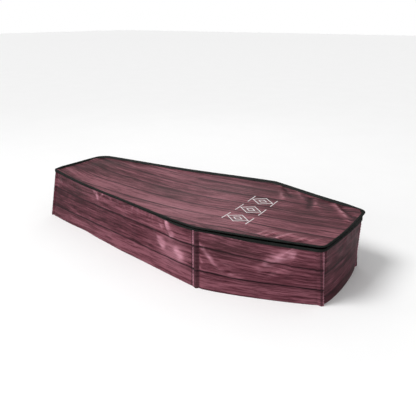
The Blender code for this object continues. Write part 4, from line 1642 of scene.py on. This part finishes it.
SHOULDER_LOOK = WallLook(
    (0.248, 0.464), (0.262, 0.332), (0.684, 0.698), (
        Fold(((0.004, 0.185), (0.035, 0.146), (0.07, 0.113), (0.132, 0.08), (0.205, 0.066)),
             0.0085, 0.006),
        Fold(((0.0, 0.205), (0.04, 0.168), (0.085, 0.135), (0.15, 0.108)), 0.012, -0.0036),
        Fold(((0.205, 0.1), (0.262, 0.148), (0.311, 0.184), (0.385, 0.215)), 0.013, 0.0058),
        Fold(((0.235, 0.08), (0.29, 0.125), (0.345, 0.155), (0.42, 0.185)), 0.015, -0.0036),
        Fold(((0.0, 0.15), (0.025, 0.112), (0.055, 0.08)), 0.006, 0.0026, False),
        Fold(((0.0, 0.118), (0.022, 0.082), (0.045, 0.05)), 0.006, 0.0024, False),
        Fold(((0.0, 0.08), (0.022, 0.05), (0.042, 0.02)), 0.0055, 0.0022, False),
        Fold(((0.15, 0.12), (0.18, 0.14)), 0.01, 0.002),
    ), (
        # Painted highlights along the crests.
        Fold(((0.0, 0.182), (0.014, 0.167), (0.036, 0.144), (0.067, 0.116), (0.1, 0.094)),
             0.0098, 2.4, False),
        Fold(((0.067, 0.116), (0.132, 0.08), (0.2, 0.07)), 0.014, 1.4),
        Fold(((0.205, 0.098), (0.263, 0.15), (0.3, 0.178)), 0.0196, 1.7),
        Fold(((0.25, 0.15), (0.311, 0.187), (0.357, 0.208), (0.4, 0.22)), 0.0224, 2.7),
        Fold(((0.0, 0.128), (0.018, 0.102)), 0.007, 1.4, False),
        Fold(((0.0, 0.09), (0.018, 0.062)), 0.007, 1.4, False),
    # Then no brighter patches, and a patch of painted shadow under the tape.
    ), (), (Patch(0.14, 0.19, 0.14, 0.05, 0.7),), seed=2.0)


@dataclass
class Walls(Assembly):
    """The box: six printed walls, the rim's tape and their stitches."""
    rows: int = 80
    slant: float = 0.232
    top: float = 0.236
    crease: float = 0.0024
    pucker_reach: float = 0.042
    pucker_width: float = 0.17
    side_tuck: float = 0.0016
    side_reach: float = 0.022
    edge_fade: float = 0.012
    broad: float = 0.0022
    small: float = 0.0008
    sleeve_print: float = 0.03
    gathering: Stitch = Stitch(0.012, 0.0075, 0.00065, 41)
    gather_at: float = 0.0075
    gather_half: float = 0.0034
    end_shade: float = 0.35
    end_half: float = 0.004
    # Strength of the painted highlight on the puckers' crests.
    pucker_highlight: float = 1.8
    looks: tuple[WallLook, ...] = (
        SIDE_LOOK, SHOULDER_LOOK,
        WallLook((0.248, 0.362), (0.415, 0.385), (0.852, 0.815), (
            Fold(((0.03, 0.22), (0.12, 0.16), (0.22, 0.13)), 0.018, 0.002),
            Fold(((0.1, 0.06), (0.2, 0.045), (0.3, 0.06)), 0.022, 0.0018),
        # Then a painted highlight line just under the tape, and the wall darkened overall as painted shade.
        ), (Fold(((0.03, 0.228), (0.18, 0.231), (0.33, 0.228)), 0.0035, 1.0),),
            (Patch(0.18, 0.12, 0.2, 0.2, -0.6),), seed=3.0),
        SHOULDER_LOOK.mirrored(4.0), SIDE_LOOK.mirrored(5.0),
        WallLook((0.248, 0.34), (0.33, 0.335), (0.735, 0.74), (
            Fold(((0.1, 0.16), (0.17, 0.1), (0.26, 0.06)), 0.022, 0.002),
        ), seed=6.0),
    )

    def lengths(self) -> list[float]:
        """Give each wall's length along its middle."""
        return [(self.shape.wall_point(i, 1.0, 0.5) - self.shape.wall_point(i, 0.0, 0.5)).length
                for i in range(len(self.shape.walls))]

    def board_at(self, look: WallLook, along: float, up: float) -> float:
        """Count the printed boards up a wall from its two printed lines."""
        upper = 1 - (look.upper[0] + (look.upper[1] - look.upper[0]) * along)
        lower = 1 - (look.lower[0] + (look.lower[1] - look.lower[0]) * along)
        return 1.0 + (up - lower) / (upper - lower) + 3.0 * look.seed

    def grid(self, index: int, length: float, start: float) -> ClothGrid:
        """Lay a wall's grid.

        Args:
            index: Which wall.
            length: Its length.
            start: How far round the coffin it starts.

        Returns:
            The grid, not yet folded.
        """
        look = self.looks[index]
        columns = max(60, round(length / 0.0032))
        grid = ClothGrid([], [], [], {"stain": [], "glow": [], "shade": []})
        shares = [column / columns for column in range(columns + 1)]
        for up in [row / self.rows for row in range(self.rows + 1)] + [1 + self.shape.tucked]:
            flat = [(along * length, up * self.slant) for along in shares]
            grid.points.append([self.shape.wall_point(index, along, up) for along in shares])
            grid.cloth.append(flat)
            grid.boards.append([(start + along * length, self.board_at(look, along, up))
                                for along in shares])
            grid.masks["stain"].append([pile(look.stains_and_shade, x, y) for x, y in flat])
            grid.masks["glow"].append([self.glow(look, x, y) for x, y in flat])
            grid.masks["shade"].append([self.seam_shade(look, length - x, y) for x, y in flat])
        return grid

    def seam_shade(self, look: WallLook, gap: float, y: float) -> float:
        """Give the painted shade at a distance from the wall's end: in the dimples of the row of gathers
        before a sleeve's ridge, and at the end itself.
        """
        gathers = look.dotted * self.dark_dots(y) * mound(gap, self.gather_at, self.gather_half)
        return gathers + self.end_shade * mound(gap, 0.0, self.end_half)

    def dark_dots(self, height: float) -> float:
        """Give how strong the painted shade of a row of gathers is up a seam."""
        return 0.45 + 0.65 * self.dots(height)

    def dots(self, height: float) -> float:
        """Swing from 0 to 1 and back with each gather up a seam."""
        return 0.5 + 0.5 * math.cos(2 * math.pi * height / self.gathering.pitch)

    def pucker(self, look: WallLook, x: float, y: float) -> float:
        """Give how far a small crease below the rim's tape stands out, from nothing to one."""
        lean = ripple(x * 4.0, 0.5, look.seed) * 1.8
        place = x + lean * (self.top - y)
        line = abs(ripple(place * 22.0, y * 10.0, look.seed * 5.0))
        bunch = ripple(x * 7.0, y * 5.0, look.seed * 3.0) * 1.8 + 0.4
        reach = mound(self.top, y, self.pucker_reach)
        return max(0.0, 1 - line / self.pucker_width) ** 1.5 * reach * clamp(bunch)

    def glow(self, look: WallLook, x: float, y: float) -> float:
        """Give how bright the print is at a place, partly painted light: past one it is a painted highlight
        on a crest or a pucker.
        """
        patchy = 0.72 + 0.8 * ripple(x * 30.0, y * 85.0, look.seed * 9.0)
        highlight_strength = pile(look.crest_highlights, x, y) + self.pucker_highlight * self.pucker(look, x, y) ** 1.5
        return pile(look.tones_and_painted_light, x, y) + highlight_strength * max(0.15, patchy)

    def depth(self, look: WallLook, length: float, x: float, y: float) -> float:
        """Give the height of a wall's folds and creases at a place."""
        edges = ease(min(x, length - x) / self.edge_fade) * ease(y / self.edge_fade)
        edges *= ease((self.slant + 0.001 - y) / 0.008)
        broad = ripple(x * 5.0, y * 7.0, look.seed * 11.0) * self.broad
        small = ripple(x * 19.0, y * 14.0, look.seed * 17.0) * self.small
        near_side = mound(min(x, length - x), 0.0, self.side_reach)
        tuck = ripple(y * 42.0, x * 9.0, look.seed * 7.0)
        total = pile(look.folds, x, y) + broad + small
        total += self.crease * self.pucker(look, x, y) + self.side_tuck * tuck * near_side
        return total * edges

    def build(self) -> list[float]:
        """Build the six walls and the rim's tape, and give where each wall starts round the coffin."""
        lengths = self.lengths()
        starts = [sum(lengths[:index]) + self.sleeve_print * index for index in range(len(lengths))]
        rows = []
        for index, wall in enumerate(self.shape.walls):
            grid = self.grid(index, lengths[index], starts[index])
            look = self.looks[index]
            grid.fold(lambda x, y: self.depth(look, lengths[index], x, y))
            if look.dotted:
                rows.append(self.gather_row(grid))
            piece = grid.piece("wall_" + wall.name, self.finishes.walls, self.finishes.lining,
                               self.shape.cloth)
            settle(piece, Slot.PRINT, wall.kind.value + "_panel" + wall.name.removeprefix(wall.kind.value))
        tape = FoldedTape(self.shape, self.finishes, self.stitches, "rim_edging", "rim_binding",
                          True, Mouth.DOWNWARDS, self.shape.rim_mouth)
        tape.build()
        tape.sew(12)
        gathers = self.stitches.sew("wall_stitches", rows, self.finishes.plum_thread, self.gathering)
        settle(gathers, Slot.PRINT)
        return starts

    def gather_row(self, grid: ClothGrid) -> tuple[list[Vector], list[Vector], bool]:
        """Lay the row of long stitches that gathers a wall just before a sleeve's ridge."""
        rows = grid.points[2:-4]
        away = [level_normal(row[-2] - row[-4]) for row in rows]
        lift = self.shape.cloth / 2 + 0.0002
        return [row[-3] + way * lift for row, way in zip(rows, away)], away, False


@dataclass(frozen=True)
class Seam:
    """Where things lie across a sleeve, as shares of its outer face from the wall before: the ridge, a strip
    of painted shade and its depth, and a row of painted shade in gathers.
    """
    ridge: float
    dark: Pair
    depth: float
    dotted: float | None = None


@dataclass
class Sleeves(Assembly):
    """The folded strips at the corners, each with a scalloped ridge that carries a painted highlight, a strip
    of painted shade and dark stitches.
    """
    walls: Walls
    rows: int = 150
    ridge: float = 0.003
    ridge_half: float = 0.0024
    tuck: float = 0.0014
    scallop: Pair = (0.68, 0.32)
    waver: float = 0.0006
    dark_fade: Pair = (0.1, 0.06)
    dotted_half: float = 0.08
    highlight_strength: float = 4.2
    highlight_reach: float = 1.2
    folded: float = 0.043
    stitch: Stitch = Stitch(0.006, 0.0042, 0.00045, 21)
    seams: tuple[Seam, ...] = (
        Seam(0.07, (0.36, 0.72), 0.75), Seam(0.06, (0.15, 0.97), 0.72),
        Seam(0.72, (0.8, 1.1), 0.45, 0.43), Seam(0.07, (0.55, 0.9), 0.55),
        Seam(0.07, (0.15, 0.97), 0.65), Seam(0.72, (0.8, 1.1), 0.45, 0.43),
    )

    def grid(self, index: int) -> tuple[list[list[Vector]], float]:
        """Lay the sleeve's closed sections from the ground up, and give its outer face's width."""
        shape, seam = self.shape, self.seams[index]
        low, high = shape.sleeve_section(index, False), shape.sleeve_section(index, True)
        foot, top, last = shape.rod_foot(index), shape.rod_top(index), shape.outer_points - 1
        width = lengths_along(low[:last + 1])[-1]
        sections = []
        for row in range(self.rows + 1):
            up = row / self.rows
            centre = foot.lerp(top, up)
            level, swing = self.scallop
            lift = level + swing * math.cos(2 * math.pi * up * top.z / self.walls.gathering.pitch)
            spots = [here.lerp(there, up) for here, there in zip(low, high)]
            section = []
            for k, spot in enumerate(spots):
                if k <= last:
                    side = outward(spots[min(k + 1, last)] - spots[max(k - 1, 0)]).normalized()
                    rise = self.ridge * lift * mound(k / last, seam.ridge, self.ridge_half / width)
                    edge = 1 - abs(2 * k / last - 1)
                    rise += self.waver * edge * ripple(up * 15.0, k * 0.11, index * 3.0)
                    spot = spot + side * rise
                tuck = self.tuck if k <= last and row == self.rows else 0.0
                section.append(centre + Vector((spot.x, spot.y, tuck)))
            sections.append(section)
        return sections, width

    def mesh(self, index: int, start: float) -> Mesh:
        """Close the sleeve round its rod's channel.

        Args:
            index: The corner.
            start: How far round the coffin the corner is, for the print.

        Returns:
            The sleeve's mesh, with its maps.
        """
        sections, width = self.grid(index)
        foot, top = self.shape.rod_foot(index), self.shape.rod_top(index)
        channel = [Matrix.Rotation(2 * math.pi * step / 16, 2) @ Vector((self.shape.sleeve_bore, 0))
                   for step in range(16)]
        build = bmesh.new()
        outside = [[build.verts.new(point) for point in section] for section in sections]
        inside = [[build.verts.new(foot.lerp(top, end) + Vector((*spot, 0.0))) for spot in channel]
                  for end in (0.0, 1.0)]
        for rings in (outside, inside):
            for low, high in zip(rings, rings[1:]):
                for k in range(len(low)):
                    n = (k + 1) % len(low)
                    build.faces.new((low[k], low[n], high[n], high[k]))
        for rim, bore in ((outside[0], inside[0]), (outside[-1], inside[-1])):
            edges = [build.edges.get((ring[k - 1], ring[k])) for ring in (rim, bore)
                     for k in range(len(ring))]
            bmesh.ops.triangle_fill(build, use_beauty=True, edges=edges)
        mesh = bpy.data.meshes.new("sleeve_" + self.shape.corners[index].name)
        fill(mesh, build)
        self.map(mesh, index, start, width, len(sections[0]))
        return mesh

    def map(self, mesh: Mesh, index: int, start: float, width: float, size: int) -> None:
        """Give the sleeve's print, cloth, painted shade and painted highlight, in the order of its points."""
        looks, seam, last = self.walls.looks, self.seams[index], self.shape.outer_points - 1
        boards, cloth, shades, tones_and_painted_light = [], [], [], []
        for vertex in mesh.vertices:
            height = vertex.co.z
            row, k = divmod(vertex.index, size)
            share, up = min(k, last) / last, min(1.0, row / self.rows)
            if row > self.rows:
                share, up = 0.0, height / self.shape.rod_top(index).z
            near = (looks[index], 0.0) if share > max(seam.ridge, 0.3) else (looks[index - 1], 1.0)
            around = share * width
            boards.append((start - self.walls.sleeve_print + around, self.walls.board_at(*near, up)))
            cloth.append((around, up * self.walls.slant))
            dark = glow = 0.0
            if row <= self.rows and k <= last:
                # Painted shade: a dark strip on the sleeve's far side, and a dark row of gathers.
                start_fade, end_fade = self.dark_fade
                dark = seam.depth * ease((share - seam.dark[0]) / start_fade)
                dark *= ease((seam.dark[1] - share) / end_fade)
                if seam.dotted is not None:
                    dark += self.walls.dark_dots(height) * mound(share, seam.dotted, self.dotted_half)
                # Painted highlight along the ridge, brighter at each scallop.
                glow = self.highlight_strength * (0.55 + 0.45 * self.walls.dots(height)) \
                    * mound(share, seam.ridge, self.highlight_reach * self.ridge_half / width)
            shades.append(dark)
            tones_and_painted_light.append(glow)
        lay_map(mesh, "print", boards)
        lay_map(mesh, "cloth", cloth)
        lay_mask(mesh, "shade", shades)
        lay_mask(mesh, "glow", tones_and_painted_light)

    def build(self, starts: list[float]) -> None:
        """Build the six sleeves and sew their edges."""
        lines = []
        last = self.shape.outer_points - 1
        for index, corner in enumerate(self.shape.corners):
            piece = dress(self.mesh(index, starts[index]), self.finishes.walls, Slot.PRINT,
                          "corner_sleeve_" + corner.name, crease=55)
            sections, _ = self.grid(index)
            for share in (self.seams[index].dotted, 0.94):
                if share is not None:
                    k = round(share * last)
                    line = [section[k] for section in sections[3:-3]]
                    away = [level_normal(section[k + 1] - section[k - 1]) for section in sections[3:-3]]
                    lines.append((line, away, False))
        piece = self.stitches.sew("sleeve_stitches", lines, self.finishes.plum_thread, self.stitch)
        settle(piece, Slot.PRINT)


@dataclass
class Floor(Assembly):
    """The plain cloth sewn inside the walls at the ground."""
    thickness: float = 0.003
    pitch: float = 0.018
    slack: float = 0.0016
    slack_reach: float = 0.05
    spans: Pair = (0.79, 0.36)
    underside: float = 0.0004
    edge_gap: float = 0.004
    seam_at: float = 0.992
    stitch_lift: float = 0.0003
    stitch: Stitch = Stitch(0.0065, 0.0046, 0.00045, 31)
    flat: Pair = (0.7, 1.56)
    flat_area: float = 0.8

    def edge(self) -> list[Vector]:
        """Draw the floor's edge: inside each wall, and round each sleeve."""
        shape, edge = self.shape, []
        inset = shape.cloth / 2 + 3 * shape.gap
        for index, wall in enumerate(shape.walls):
            foot, inner = shape.rod_foot(index), shape.sleeve_section(index, False)[-5:-2]
            bisector = shape.bisector(index)
            for spot in (inner[2], inner[1], inner[0]):
                point = spot - bisector * 3 * shape.gap
                edge.append(foot + Vector((point.x, point.y, 0.0)))
            steps = wall.steps // 4
            for step in range(steps + 1):
                along = self.edge_gap + (1 - 2 * self.edge_gap) * step / steps
                edge.append(shape.ground(index, along, 0.0, inset))
        return edge

    def build(self) -> None:
        """Cut the floor, give it its thickness and its slack, and sew it in."""
        edge = self.edge()
        build = bmesh.new()
        build.faces.new([build.verts.new(point) for point in edge])
        for axis, span in enumerate(self.spans):
            count = round(2 * span / self.pitch)
            for step in range(1, count):
                spot, normal = Vector(), Vector()
                spot[axis], normal[axis] = -span + 2 * span * step / count, 1.0
                geometry = build.verts[:] + build.edges[:] + build.faces[:]
                bmesh.ops.bisect_plane(build, geom=geometry, plane_co=spot, plane_no=normal, dist=1e-6)
        raised = bmesh.ops.extrude_face_region(build, geom=build.faces[:])
        lifted = {item for item in raised["geom"] if isinstance(item, bmesh.types.BMVert)}
        rim = [point.to_2d() for point in edge]
        for vertex in build.verts:
            gap = min((vertex.co.to_2d() - point).length for point in rim)
            slack = ease(gap / self.slack_reach) * self.slack
            wave = slack * (1 + ripple(vertex.co.x * 9, vertex.co.y * 12, 4.0))
            vertex.co.z = (self.thickness if vertex in lifted else self.underside) + wave
        mesh = bpy.data.meshes.new("floor_lining")
        fill(mesh, build)
        lay_map(mesh, "cloth", [vertex.co.to_2d() for vertex in mesh.vertices])
        floor = dress(mesh, self.finishes.floor, Slot.FLOOR, "floor_cloth", crease=40)
        line = [point * self.seam_at + UP * (self.thickness + self.stitch_lift) for point in edge]
        seam = self.stitches.sew("floor_stitches", [(line, [UP] * len(line), True)],
                                 self.finishes.plum_thread, self.stitch)
        settle(seam, Slot.FLOOR)


@dataclass
class Supports(Assembly):
    """The hoops, laid along the smooth edges, and the rods, which keep the solid model's shapes."""
    radius: float = 0.002
    sides: int = 10

    def hoop(self, name: str, node: str, follow_rim: bool) -> None:
        """Bend one closed wire."""
        notches = self.shape.notches(follow_rim)
        turns = [2 * math.pi * step / self.sides for step in range(self.sides)]
        rings = [[notch.point + notch.out * (self.radius * math.cos(turn))
                  + notch.up * (self.radius * math.sin(turn)) for turn in turns] for notch in notches]
        mesh = closed_sweep(name, rings, notches, [turn * self.radius for turn in turns])
        dress(mesh, self.finishes.wire, Slot.WIRE, node)

    def build(self) -> None:
        """Bend the wires and give the rods their finish."""
        self.hoop("lid_wire", "lid_hoop", False)
        self.hoop("rim_wire", "rim_hoop", True)
        for name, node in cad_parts.items():
            if name.startswith("corner_rod"):
                node.data.materials.clear()
                node.data.materials.append(self.finishes.rod)
                LOG.info("%s: dressed", name)


# Studio

@dataclass
class Studio:
    """A pale floor, soft light and the photograph's camera."""
    finishes: Finishes
    floor_half: float = 30.0
    azimuth: float = 35.672
    elevation: float = 21.751
    lens: float = 41.288
    sensor: float = 36.0
    camera_at: Spot = (1.3097682, -1.6539234, 0.99593)
    world: float = 0.48
    horizon: float = 1.0
    key_from: Spot = (-1.52, -2.0, 3.12)
    key_strength: float = 2.0
    key_spread: float = 24.0
    boxes: tuple[tuple[str, float, float, Spot], ...] = (
        ("fill", 2.0, 3.0, (2.6, -0.9, 1.7)), ("front", 1.1, 16.0, (0.3, -2.9, 1.05)),
        ("left", 1.0, 9.0, (-2.7, -1.7, 0.8)), ("back", 1.0, 3.0, (-1.3, 1.9, 1.95)),
    )

    def lamps(self) -> None:
        """Hang a broad far lamp above the left and softboxes round the coffin."""
        key = bpy.data.lights.new("key", "SUN")
        key.energy = self.key_strength
        key.angle = math.radians(self.key_spread)
        hung = [(key, Vector(self.key_from))]
        for name, size, energy, at in self.boxes:
            box = bpy.data.lights.new(name, "AREA")
            box.size = size
            box.energy = energy
            hung.append((box, Vector(at)))
        for data, at in hung:
            lamp = add_piece(data.name, data)
            lamp.location = at
            lamp.rotation_euler = (Vector((0.1, 0.0, 0.12)) - at).to_track_quat("-Z", "Y").to_euler()

    def sky(self) -> bpy.types.World:
        """Light the coffin evenly from all round, with a white horizon behind the floor."""
        world = bpy.data.worlds.new("studio")
        world.use_nodes = True
        pen = Pen(world.node_tree)
        way = pen.add("ShaderNodeTexCoord").outputs["Generated"]
        height = pen.parts(way)[2]
        back = world.node_tree.nodes["Background"]
        back.inputs[0].default_value = (1.0, 1.0, 1.0, 1.0)
        bright = pen.ramp(height, 0.06, 0.22, self.horizon, self.world)
        level = pen.add("ShaderNodeMix", {0: pen.glossy(), 2: bright, 3: GLOSSY_DIM}, data_type="FLOAT")
        pen.put(back.inputs[1], level.outputs[0])
        return world

    def build(self) -> None:
        """Lay the floor, hang the lamps and set up the camera."""
        scene = bpy.context.scene
        side = self.floor_half
        mesh = new_mesh("studio_floor", [(-side, -side, 0), (side, -side, 0), (side, side, 0),
                                         (-side, side, 0)], [], [(0, 1, 2, 3)])
        mesh.materials.append(self.finishes.studio_floor)
        add_piece("studio_floor", mesh)
        scene.world = self.sky()
        self.lamps()
        data = bpy.data.cameras.new("camera")
        data.lens = self.lens
        data.sensor_width = self.sensor
        data.clip_end = 200.0
        camera = add_piece("camera", data)
        camera.location = self.camera_at
        camera.rotation_euler = (math.radians(90 - self.elevation), 0.0, math.radians(self.azimuth))
        scene.camera = camera
        scene.view_settings.view_transform = "Standard"
        LOG.info("studio: ready")


def main() -> None:
    """Build and dress the coffin, then the studio round it."""
    logging.basicConfig(level=logging.INFO, format="%(name)s %(message)s")
    finishes = Finishes()
    supplies = CoffinShape(), finishes, StitchTree()
    Lid(*supplies).build()
    walls = Walls(*supplies)
    starts = walls.build()
    Sleeves(*supplies, walls).build(starts)
    Floor(*supplies).build()
    Supports(*supplies).build()
    Studio(finishes).build()


if __name__ == "__main__":
    main()
